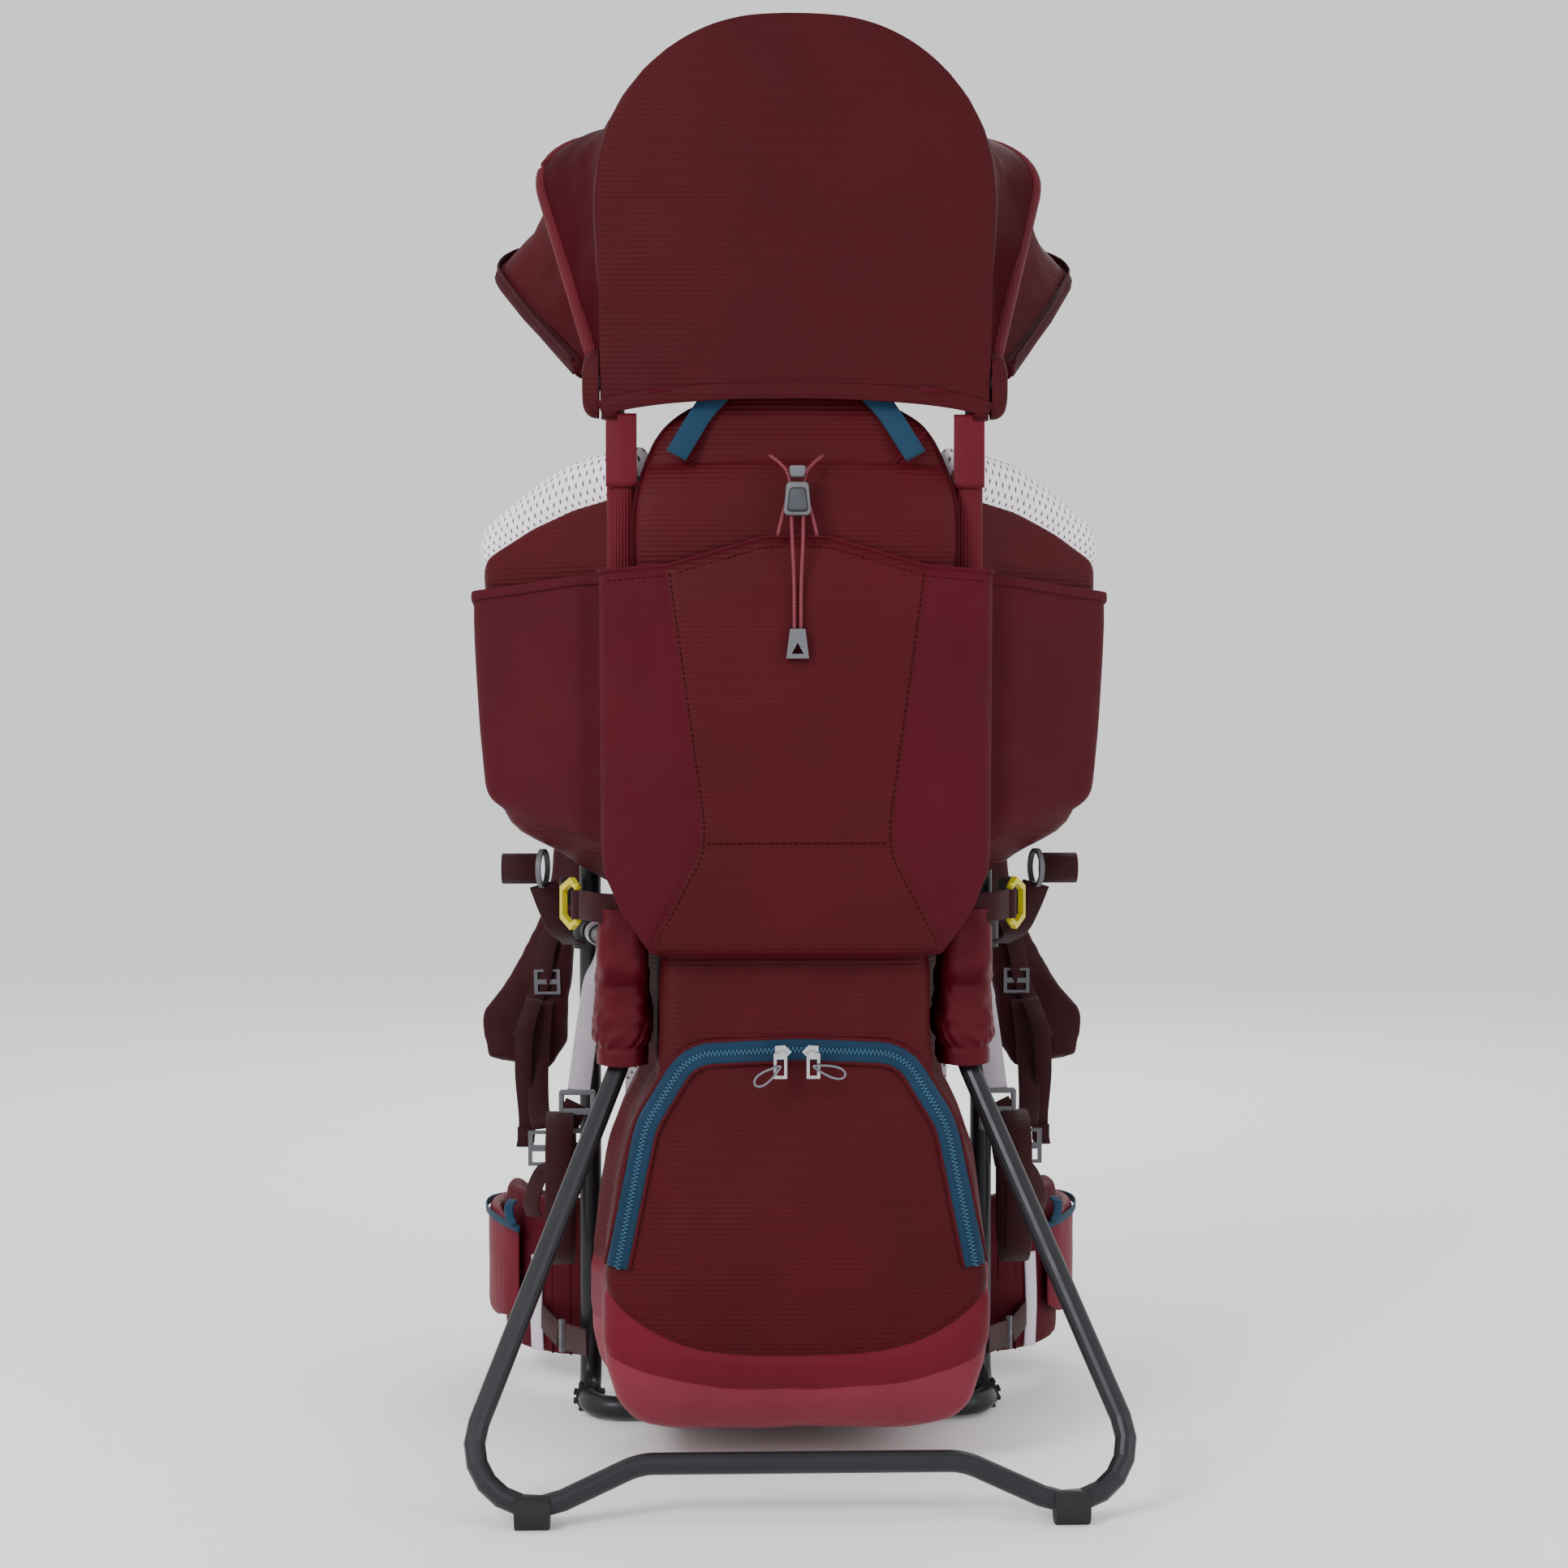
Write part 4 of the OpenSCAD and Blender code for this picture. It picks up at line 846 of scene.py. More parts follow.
tight, full = pocket_grid(1.2), pocket_grid(9)
u = np.linspace(0, 1, SIDE_COLUMNS)[None, :]
v = np.linspace(0, 1, SIDE_ROWS)[:, None]
swelled = (smoothstep(np.minimum(u, 1 - u), 0, 0.16) * smoothstep(v, 0, 0.16)
           * (1 - 0.12 * smoothstep(v, 0.85, 1)))
pocket = tight * (1 - swelled[..., None]) + full * swelled[..., None]
fold = 1.1 * wrinkle(pocket, 46, 21, (1, 1, 0.6)) + 0.7 * wrinkle(pocket, 20, 22, (1, 1, 0.35))
pocket = pocket + away_from(CENTRE, pocket) * (fold * swelled - 0.6)[..., None]
for side_name, sign in (("right", 1), ("left", -1)):
    make(f"side_pocket_cloth_{side_name}", pocket.reshape(-1, 3) * (sign, 1, 1),
         sheet_faces(SIDE_ROWS, SIDE_COLUMNS, reverse=sign < 0), "pocket", "frame", "stretch",
         f"side_pocket_{side_name}", uvs=grid_uv(pocket), thick=1.6, subdivide=1)
straps("side_pocket_hems", [(resample(pocket[-1], 40) + (0.6, -0.3, -2.4), 7, Z, 2.2)], "pocket", "frame",
       "stretch", both=True)

# ------------------------------------------------------------------ backrest panel and rod channels

# Height, half width, rear Y and inner Y
BACKREST = np.array([(396, 96, -139.5, -127.5), (420, 104, -140, -127.5), (560, 105, -140, -127.5),
                     (670, 104, -140, -127.5), (690, 98, -131, -119), (705, 90, -126.5, -117),
                     (718, 74, -124, -116), (727, 50, -122, -116)], float)


def eased(table, at):
    """Rows of a table at the given first values, along a smooth curve."""
    out = []
    for k in range(1, table.shape[1]):
        slopes = np.gradient(table[:, k], table[:, 0])
        i = np.clip(np.searchsorted(table[:, 0], at) - 1, 0, len(table) - 2)
        h = table[i + 1, 0] - table[i, 0]
        t = (at - table[i, 0]) / h
        a, b = table[i, k], table[i + 1, k]
        out.append((2 * t ** 3 - 3 * t ** 2 + 1) * a + (t ** 3 - 2 * t ** 2 + t) * h * slopes[i]
                   + (3 * t ** 2 - 2 * t ** 3) * b + (t ** 3 - t ** 2) * h * slopes[i + 1])
    return np.stack(out, 1)


def groove(distance, width, depth):
    return -depth * np.exp(-(np.asarray(distance) / width) ** 2)


table = eased(BACKREST, np.linspace(397, 728, 110))
xs = np.linspace(-1, 1, 61)
wall = []
for z, (half_x, rear, _) in zip(np.linspace(397, 728, 110), table):
    x = xs * half_x
    y = rear + 1.2 + 5.5 * np.abs(xs) ** 14 - 1.6 * (1 - xs ** 2)
    wall.append(np.stack([x, y, z + (x / 96) ** 2 * -6 * smoothstep(z, 640, 700)], 1))
wall = np.array(wall)
seam_z = 683 - (wall[..., 0] / 90) ** 2 * 4
wall[..., 1] -= groove(wall[..., 2] - seam_z, 2.4, 2.8)
wall[..., 1] -= 1.1 * wrinkle(wall, 48, 31, (0.6, 1, 1.3)) * smoothstep(wall[..., 2], 600, 640)
back = wall.copy()
back[..., 1] = np.maximum(table[:, 2][:, None] - 0.4, wall[..., 1] + 2)
n_rows, n_cols = wall.shape[:2]
backrest = make("backrest_cloth", np.vstack([wall.reshape(-1, 3), back.reshape(-1, 3)]),
                slab_faces(n_rows, n_cols), "ripstop", "frame", "ripstop", "backrest_panel",
                uvs=np.vstack([grid_uv(wall)] * 2), subdivide=1)

# Piping round the backrest's drawn-in top
path = curve([wall[k, -1] + (0.3, 1.5, 0) for k in range(50, n_rows, 3)]
             + [wall[-1, k] + (0, 1.5, 0.6) for k in range(n_cols - 1, -1, -6)]
             + [wall[k, 0] + (-0.3, 1.5, 0) for k in range(n_rows - 1, 49, -3)], 120)
assemble("backrest_piping", [tube_mesh(path, 1.7)], "hem", "frame", "ripstop")

# Bar tacks where the grab handle's ends are sewn in, two rows of stitches each
tacks = []
for sx in (-1, 1):
    for lane in (0, 1):
        for k in range(11):
            x = sx * (86 - 1.6 * k - 6 * lane)
            z = 700 - 2.1 * k - 3 * lane
            tacks.append(tube_mesh([(x - 1.2, -132.4, z - 1), (x, -133.3, z), (x + 1.2, -132.4, z + 1)], 0.4, 6))
assemble("backrest_bar_tacks", tacks, "band", "frame", "red_lining")


def squared_ring(count, power):
    """Cosine and sine round a ring, drawn out towards a rectangle by a power below 1."""
    a = TAU * np.arange(count) / count
    return [np.sign(f) * np.abs(f) ** power for f in (np.cos(a), np.sin(a))]


cx, cy = squared_ring(28, 0.62)
rings = np.array([np.stack([117 + 10.3 * cx, -119.2 + 9.2 * cy, np.full(28, z)], 1)
                  for z in np.linspace(420, 676, 60)])
rings += away_from((117, -119.2, 0), rings) * (0.7 * wrinkle(rings, 18, 41, (1, 1, 0.3)))[..., None]
uvs = np.stack([np.tile(np.linspace(0, 62, 28), 60), np.repeat(np.linspace(0, 256, 60), 28)], 1)
assemble("rod_channel_cloth", both_sides([(rings.reshape(-1, 3), tube_faces(60, 28), uvs)]), "channel",
         "frame", "red_lining", "rod_channels")
straps("rod_channel_straps", [([(x, -129.6, z) for z in np.linspace(664, 713, 14)], 21, X)
                              for x in (117, -117)], "satin", "frame", "red_lining")

# ------------------------------------------------------------------ stuff pocket

# Half width and height of the pocket's top and bottom; height and half width of its edge and seams
POCKET_TOP = np.array([(0, 631), (22, 630), (86, 611), (132, 607)], float)
POCKET_BOTTOM = np.array([(0, 347), (60, 347.5), (97, 350), (118, 365), (130, 386), (132, 392)], float)
POCKET_EDGE = np.array([(347, 97), (355, 106), (366, 118), (386, 129), (420, 131), (607, 132),
                        (640, 132)], float)
POCKET_SEAM = np.array([(340, 99), (360, 96), (415, 67), (425, 65), (441, 65), (606, 88), (640, 92)], float)
CROSS_SEAM, SEAM_SHARE = 422, 0.27
side_u = np.linspace(-1, 1, 79)
front = []
for share in np.concatenate([np.linspace(0, SEAM_SHARE, 22)[:-1], np.linspace(SEAM_SHARE, 1, 44)]):
    z0 = 347 + share * 262
    edge = look_up(POCKET_EDGE, z0)
    seam = min(look_up(POCKET_SEAM, z0), edge - 4)
    x = np.sign(side_u) * np.interp(np.abs(side_u), [0, 0.6, 1], [0, seam, edge])
    low, high = look_up(POCKET_BOTTOM, np.abs(x)), look_up(POCKET_TOP, np.abs(x))
    middle = np.maximum(CROSS_SEAM, low + 20)
    z = np.where(share < SEAM_SHARE, low + (middle - low) * share / SEAM_SHARE,
                 middle + (high - middle) * (share - SEAM_SHARE) / (1 - SEAM_SHARE))
    front.append(np.stack([x, np.zeros_like(x), z], 1))
front = np.array(front)
x, z = np.abs(front[..., 0]), front[..., 2]
low, high = look_up(POCKET_BOTTOM, x), look_up(POCKET_TOP, x)
away = np.minimum(np.minimum(look_up(POCKET_EDGE, z) - x, z - low), (high - z) * 1.6 + 3)
rise = (1 - (1 - np.clip(away, 0, 26) / 26) ** 2.4) ** (1 / 2.4)
seam_x = look_up(POCKET_SEAM, z)
depth = 13.2 * rise + 6.2 * smoothstep(away, 0, 70)
depth += groove(x - seam_x, 2.4, 1.9) * smoothstep(away, 0, 8)
depth += groove(z - CROSS_SEAM, 2.4, 1.9) * smoothstep(seam_x - x, -2, 6) * smoothstep(away, 0, 8)
soft = 1.0 * wrinkle(front, 70, 51) + 0.45 * wrinkle(front, 26, 52, (0.7, 1, 1.2))
depth += soft * smoothstep(away, 2, 24)
gathers = 0.7 * np.abs(wrinkle(front, 16, 53, (1, 1, 0.25)))
depth += gathers * smoothstep(25 - (z - low), 0, 24) * smoothstep(away, 1, 9)
front[..., 1] = -141.6 - depth
flat_back = front.copy()
flat_back[..., 1] = -141.2
flat_back[..., 0] *= 0.995
faces = slab_faces(*front.shape[:2])
tags = [0 if abs(u + 0.5 * (side_u[1] - side_u[0])) < 0.6 else 1 for u in side_u[:-1]] * (len(front) - 1)
tags += [1] * (len(faces) - len(tags))
make("stuff_pocket_cloth", np.vstack([front.reshape(-1, 3), flat_back.reshape(-1, 3)]), faces,
     ["ripstop", "stretch"], "frame", "stretch", "stuff_pocket", tags=tags,
     uvs=np.vstack([grid_uv(front)] * 2), subdivide=1)
assemble("stuff_pocket_binding", [tube_mesh(resample(front[-1] + (0, -0.6, -1.2), 90), 1.5)], "stretch",
         "frame", "ripstop")


def stitch_line(grid, xs, zs):
    """A line of stitching on a rear-facing grid: its X and Z, and the grid's own Y near them."""
    flat = grid.reshape(-1, 3)
    line = []
    for x, z in zip(xs, zs):
        near = np.argsort((flat[:, 0] - x) ** 2 + (flat[:, 2] - z) ** 2)[:4]
        line.append((x, flat[near, 1].mean() - 0.3, z))
    return np.array(line)


def stitches(lines):
    """Short raised stitches along each line."""
    length, gap = 2.6, 1.5
    parts = []
    for line in lines:
        total = np.linalg.norm(np.diff(line, axis=0), axis=1).sum()
        count = max(2, int(total / (length + gap)))
        for start in np.arange(count) / count:
            piece = resample(line, 3, [start, start + length / 2 / total, start + length / total])
            piece[1] += (0, -0.25, 0)
            parts.append(tube_mesh(piece, 0.32, 5))
    return parts


# Stitches along the pocket's seams and below its top edge, in the darker hem cloth as painted shade of the seam
# lines.
up = np.linspace(352, 606, 40)
xs = np.linspace(-126, 126, 60)
seam_lines = [stitch_line(front, sx * (look_up(POCKET_SEAM, up) - 3.2), up) for sx in (-1, 1)]
seam_lines += [stitch_line(front, np.linspace(-60, 60, 26), np.full(26, 425.4)),
               stitch_line(front, xs, look_up(POCKET_TOP, np.abs(xs)) - 8)]
assemble("stuff_pocket_stitches_and_seam_shade", stitches(seam_lines), "hem", "frame", "stretch")

# The bungee: from the lid's seam through the lock and down to the pull, and two short legs to the pocket
BUNGEE = [[(18, -141.5, 684), (13, -146, 680), (7.6, -151.5, 674), (5.2, -153.5, 668), (4, -159, 657),
           (3.9, -161, 641), (3.4, -164.8, 622), (2.4, -164.8, 600), (2.1, -164.8, 566)],
          [(6, -157, 656), (8.6, -158.5, 647), (11, -160, 638), (12.6, -160.5, 631.5), (12.8, -157, 629.5)]]
cords = [part for path in BUNGEE for part in both_sides([tube_mesh(curve(path, 40), 1.25, 10)])]
assemble("bungee_braid", cords, "cord", "frame", "cord", "bungee_cord")


def plate(outline, front, back, bevel):
    """A flat moulded plate seen from behind, with rounded corners and a bevelled edge."""
    ring = np.array(outline, float)
    middle = ring.mean(0)
    layers = [(back, 0), (front + bevel, 0), (front + bevel * 0.3, bevel * 0.35), (front, bevel)]
    rows = []
    for y, inset in layers:
        moved = ring - unit(ring - middle) * inset
        rows.append(np.column_stack([moved[:, 0], np.full(len(ring), y), moved[:, 1]]))
    points = np.vstack(rows)
    return points, tube_faces(len(rows), len(ring)), points[:, [0, 2]]


def shield(half_low, half_high, low, high, inset=0.0, r=3.0):
    """A rounded outline, wider below, as points anticlockwise in X and Z."""
    corners = [(half_high - inset, 0, high - inset), (-half_high + inset, 0, high - inset),
               (-half_low + inset, 0, low + inset), (half_low - inset, 0, low + inset)]
    start = ((half_low + half_high) / 2 - inset, 0, (low + high) / 2)
    ring = rounded([start] + corners + [start], (r, r, r, r), 6)
    return ring[:-1, [0, 2]]


for name, outline, layers, material, body, replaces in (
    ("cord_lock_shell", shield(9.2, 7.2, 642.5, 664.4), (-165.2, -155, 1.4), "grey", "cord_lock",
     "cord_lock_body"),
    ("cord_lock_groove", shield(9.2, 7.2, 642.5, 662.6, 1.9, 2.4), (-165.5, -164.6, 0.1), "black", "cord_lock", ()),
    ("cord_lock_panel", shield(9.2, 7.2, 643, 662.6, 2.7, 2.0), (-167.0, -165, 0.8), "slate", "cord_lock", ()),
    ("cord_lock_cap", shield(4.4, 5.9, 667.6, 675.2, 0, 2.0), (-165.6, -157.5, 1.2), "grey", "cord_button",
     "cord_lock_button"),
):
    assemble(name, [plate(outline, *layers)], material, body, "grey_plastic", replaces)

# ------------------------------------------------------------------ lower bag

# Height, rear half width, side half width, rear Y
BAG = np.array([(25, 84, 96, -118), (32, 108, 122, -134), (46, 122, 136, -144), (80, 130, 144, -149),
                (120, 131, 144, -150), (160, 128, 139, -149), (200, 122, 133, -146), (232, 113, 122, -143),
                (250, 104, 113, -141), (266, 94, 108, -139), (300, 92, 108, -136), (340, 92, 108, -133),
                (384, 88, 104, -128)], float)
BAG_RING = 140
BAG_LOW, BAG_HIGH = 25, 384


def bag_ring(z):
    rear, side, y = (look_up(BAG, z, k) for k in (1, 2, 3))
    return closed_outline([(rear, y), (rear + 0.2 * (side - rear), -52), (side, -26), (side, 40)], 12, BAG_RING)


def seam_one(x):
    """The flap's lower seam, which droops in the middle."""
    return 81 + 45 * np.minimum(np.abs(x) / 131, 1) ** 3.4


def seam_two(x):
    """The seam between the band and the bottom."""
    return 58 + 26 * np.minimum(np.abs(x) / 131, 1) ** 3


plan = bag_ring(120)[:, 0]
low_z, mid_z = seam_two(plan), seam_one(plan)
ROWS_BOTTOM, ROWS_BAND, ROWS_UP = 9, 9, 58
rows = np.array([BAG_LOW + share ** 1.3 * (low_z - BAG_LOW) for share in np.linspace(0, 1, ROWS_BOTTOM)[:-1]]
                + [low_z + share * (mid_z - low_z) for share in np.linspace(0, 1, ROWS_BAND)[:-1]]
                + [mid_z + share * (BAG_HIGH - mid_z) for share in np.linspace(0, 1, ROWS_UP)])
rings = {z: bag_ring(z) for z in range(BAG_LOW, BAG_HIGH + 1)}
bag = np.array([[(*rings[round(z)][k], z) for k, z in enumerate(row)] for row in rows])
out = away_from((0, -50, 0), bag)
x, y, z = bag[..., 0], bag[..., 1], bag[..., 2]
rear_face = smoothstep(-y, 60, 110)
bulge = 4.5 * np.exp(-((z - 150) / 60) ** 2) * np.exp(-(x / 95) ** 4) * rear_face
gather = 1.8 * wrinkle(bag, 15, 61, (1, 0.6, 0.35)) * smoothstep(mid_z[None, :] - z, -12, 20)
loose = 1.5 * wrinkle(bag, 58, 62) + 0.8 * wrinkle(bag, 26, 63, (1, 1, 0.7))
neck = 1.8 * wrinkle(bag, 30, 64, (1.5, 1, 0.4)) * smoothstep(z, 262, 300)
pinch = groove(z - mid_z[None, :], 3.2, 2.2) + groove(z - low_z[None, :], 3, 1.8)
bag += out * (bulge + gather + loose + neck + pinch - 1.2)[..., None]
bag[..., 2] += 1.6 * wrinkle(bag, 40, 65) * smoothstep(80 - z, 0, 30) - 1.0 * smoothstep(60 - z, 0, 30)
# Clear of the ground bar below, the wearer's pads in front, and the boots at the waist
bag[..., 2] = np.maximum(bag[..., 2], 23.5)
bag[..., 1] = np.minimum(bag[..., 1], 40.5)
bag[..., 0] = np.where(z > 250, np.clip(bag[..., 0], -109.5, 109.5), bag[..., 0])
faces = sheet_faces(len(rows), BAG_RING, closed=True)
tags = []
for i in range(len(rows) - 1):
    tags += [2 if i < ROWS_BOTTOM - 1 else 1 if i < ROWS_BOTTOM + ROWS_BAND - 2 else 0] * BAG_RING
floor_rings = []
for share in (0.86, 0.6, 0.3):
    ring = bag[0] * (share, share, 1) + (0, -40 * (1 - share), -1.4 * (1 - share))
    ring[:, 2] += 1.2 * wrinkle(ring, 24, 66)
    floor_rings.append(ring)
floor = floor_faces(BAG_RING, len(rows) * BAG_RING, len(floor_rings))
faces += floor + [[(len(rows) - 1) * BAG_RING + k for k in range(BAG_RING)]]
tags += [2] * len(floor) + [0]
make("lower_bag_cloth", np.vstack([bag.reshape(-1, 3)] + floor_rings), faces, ["ripstop", "band", "bottom"],
     "frame", "ripstop", "lower_bag", tags=tags, subdivide=1,
     uvs=np.vstack([grid_uv(bag)] + [ring[:, :2] for ring in floor_rings]))

# The zip: a tape, coil teeth and the seams beside it, following the flap's arch


def outward_of(path):
    """Unit vectors square to an arch seen from behind, pointing out of it."""
    out = unit(np.cross(unit(np.gradient(path, axis=0)), (0, 1, 0)))
    return out * np.sign(out[len(path) // 2, 2])


ZIP = [(-120, 142), (-101, 236), (-72, 283), (0, 286), (72, 283), (101, 236), (120, 142)]
arch = resample(rounded([(x, 0, z) for x, z in ZIP], (60, 30, 60, 30, 60), 10), 150)
arch_out = outward_of(arch)
rear_side = bag[:, bag[30, :, 1] < -60]
rear_points = rear_side.reshape(-1, 3)
rear_points = rear_points[rear_points[:, 1] < -112]


def laid(across, lift):
    """The arch moved sideways by across, on the bag's rear face and lift proud of its nearest points."""
    path = arch + arch_out * across
    for k, (x, _, z) in enumerate(path):
        near = np.argsort((rear_points[:, 0] - x) ** 2 + (rear_points[:, 2] - z) ** 2)[:9]
        path[k, 1] = rear_points[near, 1].min()
    path[:, 1] = np.convolve(np.pad(path[:, 1], 4, "edge"), np.ones(9) / 9, "valid") - lift
    return path


tape = [laid(w, 1.2 if abs(w) > 6 else 1.6) for w in (-7, -5, -2.5, 0, 2.5, 5, 7)]
tape = np.array(tape).transpose(1, 0, 2)
make("zip_tape_cloth", tape.reshape(-1, 3), sheet_faces(*tape.shape[:2], reverse=True), "zip_tape", "frame",
     "blue_webbing", "bag_zip_tape", uvs=grid_uv(tape), thick=1.2, offset=0)
dense = resample(laid(0, 2.3), 330)
teeth = []
for k, (p, o) in enumerate(zip(dense, outward_of(dense))):
    o = o * (1 if k % 2 else -1)
    teeth.append(tube_mesh([p - o * 0.4, p + o * 0.9 + (0, -0.5, 0), p + o * 2.0], 0.6, 5))
assemble("zip_teeth", teeth, "teeth", "frame", "blue_webbing")
assemble("zip_seams", [tube_mesh(laid(w, 0.6), 1.6) for w in (8.0, -8.0)], "ripstop", "frame", "ripstop")
xs = np.linspace(-122, 122, 70)
assemble("lower_bag_stitching", stitches([stitch_line(rear_side, xs, seam_one(xs) + 3.4)]), "band", "frame",
         "red_lining")

# Woven pull loops on the sliders: the left one hangs, the right one lies to its right
loops = {"left": ((-11, 277), (-28, 265)), "right": ((11, 277), (32, 271))}
for side_name, ((x0, z0), (x1, z1)) in loops.items():
    along = np.array([x1 - x0, 0, z1 - z0], float)
    reach = np.linalg.norm(along)
    along /= reach
    square = np.array([along[2], 0, -along[0]])
    route = []
    for a in np.linspace(0, TAU, 33):
        wide = 3.4 * math.sin(a) * (1 - 0.55 * math.cos(a))
        route.append(np.array([x0, -156.6, z0]) + along * reach * (0.5 - 0.5 * math.cos(a)) + square * wide
                     + (0, -1.2 * math.sin(a / 2), 0))
    straps(f"zip_pull_loop_{side_name}", [(route, 3.4, (0, -1, 0.25), 1.3)], "loop", f"zip_{side_name}",
           "bright_metal")

# ------------------------------------------------------------------ boots over the hinges

# Each is a sleeve gathered over the hinge, hemmed below and tucked up behind the stuff pocket
SLEEVE = 72
levels = np.concatenate([np.linspace(271, 289, 13), np.linspace(290.5, 338, 26), np.linspace(341, 380, 14)])
a = TAU * np.arange(SLEEVE) / SLEEVE
rings = []
for z in levels:
    balloon = smoothstep(z, 284, 291) * (1 - smoothstep(z, 296, 326))
    top = smoothstep(z, 322, 342)
    neck = smoothstep(z, 356, 376)
    wide = 18.6 + 2.6 * balloon - 1.0 * top - 2.6 * neck
    deep = 35 + 1.5 * balloon + 8 * top - 18 * neck
    cx, cy = squared_ring(SLEEVE, 0.55 - 0.1 * top)
    rings.append(np.stack([118 + wide * cx, -79 - 12 * top - 17 * neck + deep * cy, np.full(SLEEVE, z)], 1))
rings = np.array(rings)
z = rings[..., 2]
puckers = 1.0 * np.sin(17 * a[None, :] + 0.5 * z) * np.exp(-((z - 289) / 6) ** 2)
crumpled = smoothstep(z, 287, 297) * (1 - 0.6 * smoothstep(z, 330, 352))
folds = 2.6 * wrinkle(rings, 15, 71, (1, 1, 1.5)) + 1.3 * wrinkle(rings, 8, 73, (1, 1, 1.7))
seam = -1.5 * np.exp(-((z - 283.5) / 1.7) ** 2)
swag = 1.2 * np.abs(np.sin(3.5 * a[None, :] + 0.11 * z)) * crumpled
rings += (away_from(rings.mean(1, keepdims=True), rings)
          * (puckers + folds * crumpled + swag + seam - 0.9)[..., None])
rings[..., 2] += 1.6 * wrinkle(rings, 22, 72)
uvs = np.stack([np.tile(a * 24, len(levels)), np.repeat(levels, SLEEVE)], 1)
boot = (rings.reshape(-1, 3), sheet_faces(len(levels), SLEEVE, closed=True), uvs)
assemble("boot_cloth_pair", both_sides([boot]), "boot", "frame", "red_lining", "stand_boots", thick=1.2,
         subdivide=1)

# ------------------------------------------------------------------ webbing

straps("frame_webbing", [
    (curve([(147, 12, 52), (158, 34, 50), (165, 49, 48)]), 20, Z),
    (curve([(170, 57, 48), (182, 80, 54), (184.5, 89, 58)]), 20, Z),
    (curve([(155.5, 56, 182), (165, 60, 184), (176, 62, 187)]), 20, Z),
    (curve([(109, -130.5, 380), (132, -128, 381), (142, -120, 382), (146.5, -112, 382)]), 20, Z),
    (curve([(157, -84, 382), (162, -50, 384), (164, 0, 384), (158, 50, 380)]), 20, Z),
    (curve([(176, -30, 391), (170, -24, 372), (163, -6, 352), (158, 46, 342)], 30),
     np.interp(np.linspace(0, 1, 30), [0, 0.33, 0.66, 1], [20, 18, 12, 18]), X),
    ([(148 + 3.4 * math.cos(a), -108.5 + 3.4 * math.sin(a), 382) for a in np.linspace(0.2, 6.0, 20)], 20, Z),
], "dark_tape", "frame", "dark_webbing", "frame_straps", both=True)
loop = [(192, -30 + 10.1 * math.cos(a), 402 + 10.1 * math.sin(a)) for a in np.linspace(0, TAU, 33)]
straps("pocket_loops", [(loop, 26, X)], "dark_tape", "frame", "dark_webbing", both=True)
straps("belt_strap_left", [
    (curve([(-140, 254.6, 86), (-100, 255.4, 86), (-39, 254, 86)]),
     np.interp(np.linspace(0, 1, 24), [0, 0.4, 1], [36, 40, 40]), Z),
], "dark_tape", "frame", "dark_webbing", "belt_webbing")
straps("lifter_webbing", [
    (curve([(186, 130, 290), (188, 112, 255), (187, 90, 218), (183, 69, 201)]), 16, X),
    (curve([(62, 68, 676), (66, 96, 686), (72, 124, 688)]), 18, X),
], "dark_tape", "shoulder_harness", "dark_webbing", "harness_webbing", both=True)
straps("harness_tails", [
    (curve([(192, 124, 292), (198, 106, 270), (199, 98, 240), (196, 96, 205), (197, 99, 186)]), 13, X, 1.4),
    (curve([(197, 99, 188), (198, 97.4, 183), (197, 95.6, 188), (197, 95.6, 198)]), 13, X, 1.4),
], "dark_tape", "shoulder_harness", "dark_webbing", both=True)
straps("webbing_tails", [
    (curve([(178, 60, 176), (184, 52, 168), (190, 50, 150), (188, 52, 138)]), 15, (0.8, 0.6, 0), 1.4),
], "dark_tape", "frame", "dark_webbing", both=True)
straps("strap_ladder", [
    (curve([(178, 155, 350), (184, 143, 328), (187, 137, 306), (197, 127, 280), (203, 120, 262)]), 14,
     (1, 0.3, 0.3), 1.6),
], "dark_tape", "shoulder_harness", "dark_webbing", both=True)

handle_half = [(80, -141, 684), (64, -128.5, 712), (26, -120.5, 764)]
handle = rounded(handle_half + [(-x, y, z) for x, y, z in handle_half[::-1]], (40, 30, 30, 40), 8)
handle = resample(handle, 64)
lean_x = np.stack([handle[:, 0] / 90, np.zeros(64), 0.3 + 0.7 * (handle[:, 2] - 684) / 80], 1)
handle_width = 15 + 9 * smoothstep(handle[:, 2], 712, 752)
straps("grab_handle_webbing", [(handle, handle_width, unit(lean_x), 1.8)], "blue_tape", "frame", "blue_webbing",
       "grab_handle")

# Sternum strap, hip belt and their buckles


def block(centre, size, bevel=1.6):
    """A moulded block with rounded edges, as points, faces and UVs."""
    bm = bmesh.new()
    bmesh.ops.create_cube(bm, size=1)
    bmesh.ops.scale(bm, vec=size, verts=bm.verts)
    bmesh.ops.bevel(bm, geom=bm.edges[:], offset=bevel, segments=3, profile=0.6, affect="EDGES")
    bmesh.ops.translate(bm, vec=centre, verts=bm.verts)
    points = np.array([v.co for v in bm.verts])
    faces = [[v.index for v in f.verts] for f in bm.faces]
    bm.free()
    return points, faces, points[:, :2]


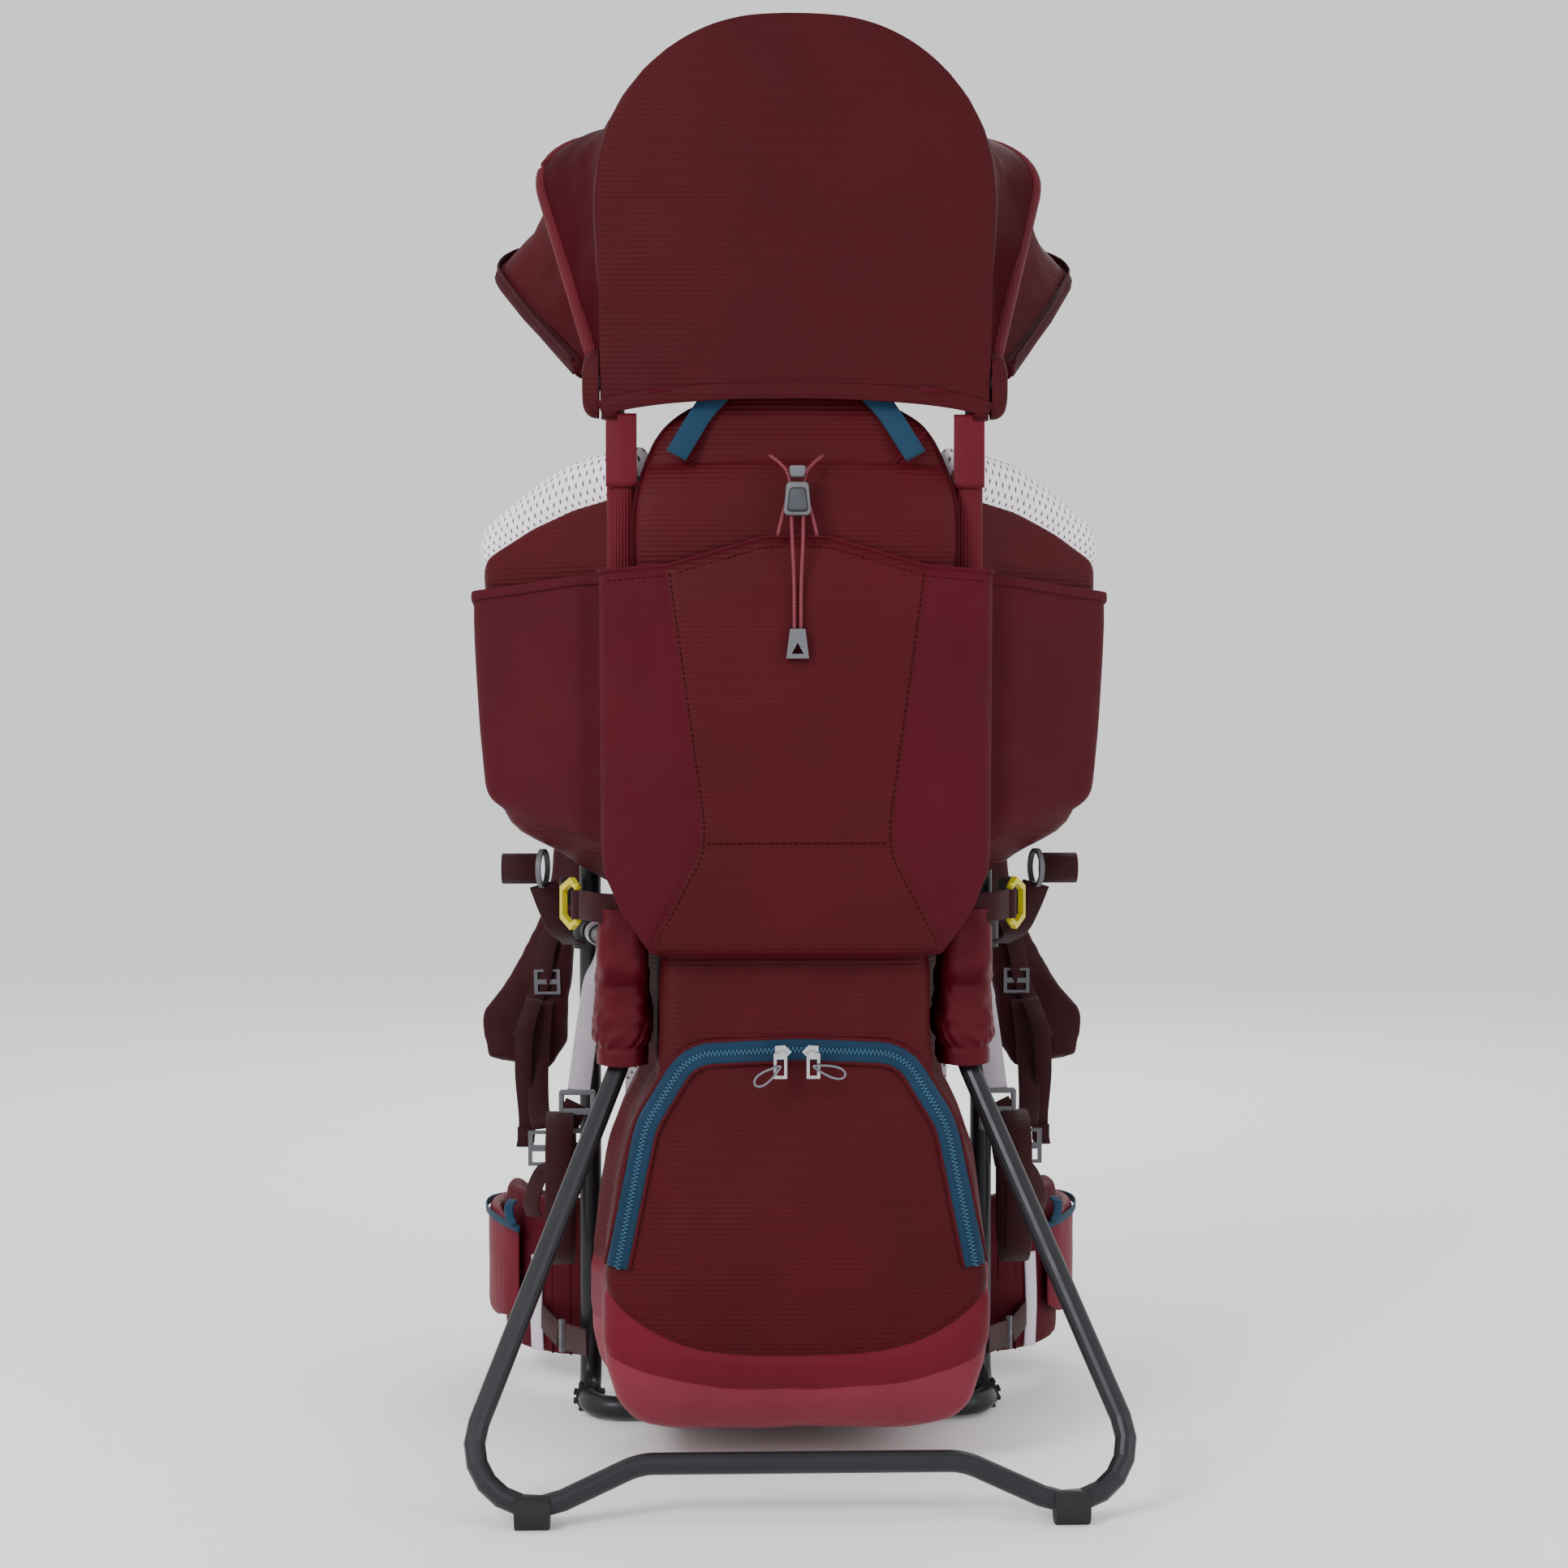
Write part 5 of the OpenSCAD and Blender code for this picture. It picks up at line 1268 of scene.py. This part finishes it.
straps("sternum_webbing", [
    (curve([(-136, 216, 530), (-70, 216.5, 530), (-20, 216, 530)]), 20, Z),
    (curve([(-96, 214, 530), (-80, 213, 529.5), (-60, 213.6, 529)]), 20, Z),
], "dark_tape", "shoulder_harness", "dark_webbing", "sternum_strap")
assemble("sternum_buckle_shell", [
    block((-9, 220, 530), (26, 1.8, 30), 0.8), block((-9, 212, 530), (26, 1.8, 30), 0.8),
    block((-19, 216, 530), (6, 9, 30), 1.5), block((-9, 216, 543.4), (26, 9, 3), 1),
    block((-9, 216, 516.6), (26, 9, 3), 1),
], "black", "shoulder_harness", "hard_plastic")
belt_y = 257.2
straps("belt_strap_right", [
    (curve([(32, belt_y - 1, 86), (80, belt_y - 1, 86), (128, belt_y - 1.4, 86)]), 38, Z),
], "dark_tape", "belt_plug", "dark_webbing")
assemble("belt_plug_shell", [
    block((21, belt_y, 86), (32, 14, 50), 2.5),
    *[block((0, belt_y, 86 + z), (24, 7, 8), 1.5) for z in (-15, 0, 15)],
    *[block((16 + 5 * k, belt_y + 7, 86), (2, 1.2, 34), 0.4) for k in range(4)],
], "black", "belt_plug", "hard_plastic", "belt_buckle_plug")

# The child's shoulder straps, with their webbing down to the chest buckle
straps("child_strap_pads", [
    (curve([(sx * 34, -88.5, 638), (sx * 35, -88, 600), (sx * 34, -88, 560), (sx * 31, -88, 516)], 26), 30, X, 7)
    for sx in (-1, 1)
], "black_cloth", "frame", "padded", "child_harness")
straps("child_strap_webbing", [
    (curve([(33, -83.8, 600), (33, -83.6, 540), (28, -83.4, 512), (20, -84, 498)]), 15, X, 1.4),
    (curve([(20, -84, 476), (30, -83, 462), (52, -80, 452)]), 15, (0.7, 0, 0.7), 1.4),
], "black_cloth", "frame", "padded", both=True)

# Hip belt trim: a pale edge, the pouches' zips with their pulls, and stitched channels
HIP = np.array([132, 163, 0])


def round_hip(angle, radius):
    a = math.radians(angle)
    return HIP + radius * np.array([math.cos(a), math.sin(a), 0])


edge = round_hip(-51, 89.2)
out = round_hip(-51, 1) - HIP
straps("hip_lilac_edges", [(curve([edge + (0, 0, 28), edge + out * 1.5 + (0, 0, 64), edge + (0, 0, 100)]), 12,
                            (-out[1], out[0], 0), 2.4)], "lining", "frame", "mesh", both=True)
angles = np.radians(np.linspace(-46, 40, 30))
lid = np.stack([132 + 100.2 * np.cos(angles), 163 + 100.2 * np.sin(angles), 118 + 9 * np.cos(angles * 1.6)], 1)
straps("hip_pouch_zips", [(lid, 6, Z, 1.2)], "zip_tape", "frame", "blue_webbing", both=True)
straps("hip_zip_pulls", [
    (curve([(207, 101, 141), (210, 96.5, 137), (209, 93.5, 129), (206, 92.5, 124)]), 8, (0.8, 0.5, 0), 2.0),
], "blue_tape", "frame", "blue_webbing", both=True)
seams = [tube_mesh([round_hip(angle, 88.6) + (0, 0, z) for z in np.linspace(27, 145, 20)], 0.9, 6)
         for angle in (-80, -70, -60)]
assemble("hip_channel_seams", both_sides(seams), "hem", "frame", "stretch")

# ------------------------------------------------------------------ stirrups

drop = curve([(139.2, 15, 343.5), (141, 15, 320), (147, 14, 280), (153, 13.4, 236)], 40)
turn = smoothstep(np.linspace(0, 1, 40), 0.0, 0.35)[:, None]
ring = [(139.2 - 0.986 * 7.6 * math.cos(a), 15 + 0.164 * 7.6 * math.cos(a), 352 + 7.6 * math.sin(a))
        for a in np.linspace(-1.57, 4.71, 40)]
stadium = []
for a in np.linspace(0, TAU, 65):
    lift = 25 if math.sin(a) > 1e-9 else -25 if math.sin(a) < -1e-9 else 0
    stadium.append((166, 15 + 29.5 * math.cos(a), 166 + lift + 29.5 * math.sin(a)))
STIRRUP = (
    ("strap", "pale_tape", "light_webbing", [strap_mesh(ring, 18, (0.164, 0.986, 0)),
                                             strap_mesh(drop, 17, (1 - turn) * (0, 1, 0) + turn * (1, 0.1, 0))]),
    ("loop", "dark_tape", "dark_webbing", [
        strap_mesh(resample(stadium, 80), 20, X, 2.6),
        strap_mesh(curve([(154, 13.4, 228), (160, 14, 216), (164, 15, 206)], 14), 18, (1, 0, 0.2), 2)]),
    ("lock", "grey", "grey_plastic", [
        block((154, 13.4, 236), (25, 4, 4), 1.2), block((154, 13.4, 208), (23, 4, 4), 1.2),
        block((154, 12.8, 222), (20, 3.6, 5), 1.2), block((142.5, 13.4, 222), (4, 4, 30), 1.2),
        block((165.5, 13.4, 222), (4, 4, 30), 1.2)]),
)
for side_name in ("right", "left"):
    for kind, material, slot, parts in STIRRUP:
        assemble(f"stirrup_{kind}_{side_name}", parts if side_name == "right" else [mirrored(p) for p in parts],
                 material, "stirrup_" + side_name, slot, "stirrup_" + side_name if kind == "strap" else ())

# ------------------------------------------------------------------ floor and finish

mesh = bpy.data.meshes.new("floor")
mesh.from_pydata([(-30, -30, 0), (30, -30, 0), (30, 60, 0), (-30, 60, 0)], [], [(0, 1, 2, 3)])
floor = bpy.data.objects.new("floor", mesh)
SCENE.collection.objects.link(floor)
pale = Shader("pale_floor")
mesh.materials.append(pale.surfaced({"Base Color": (0.97, 0.97, 0.97, 1), "Roughness": 0.9}))
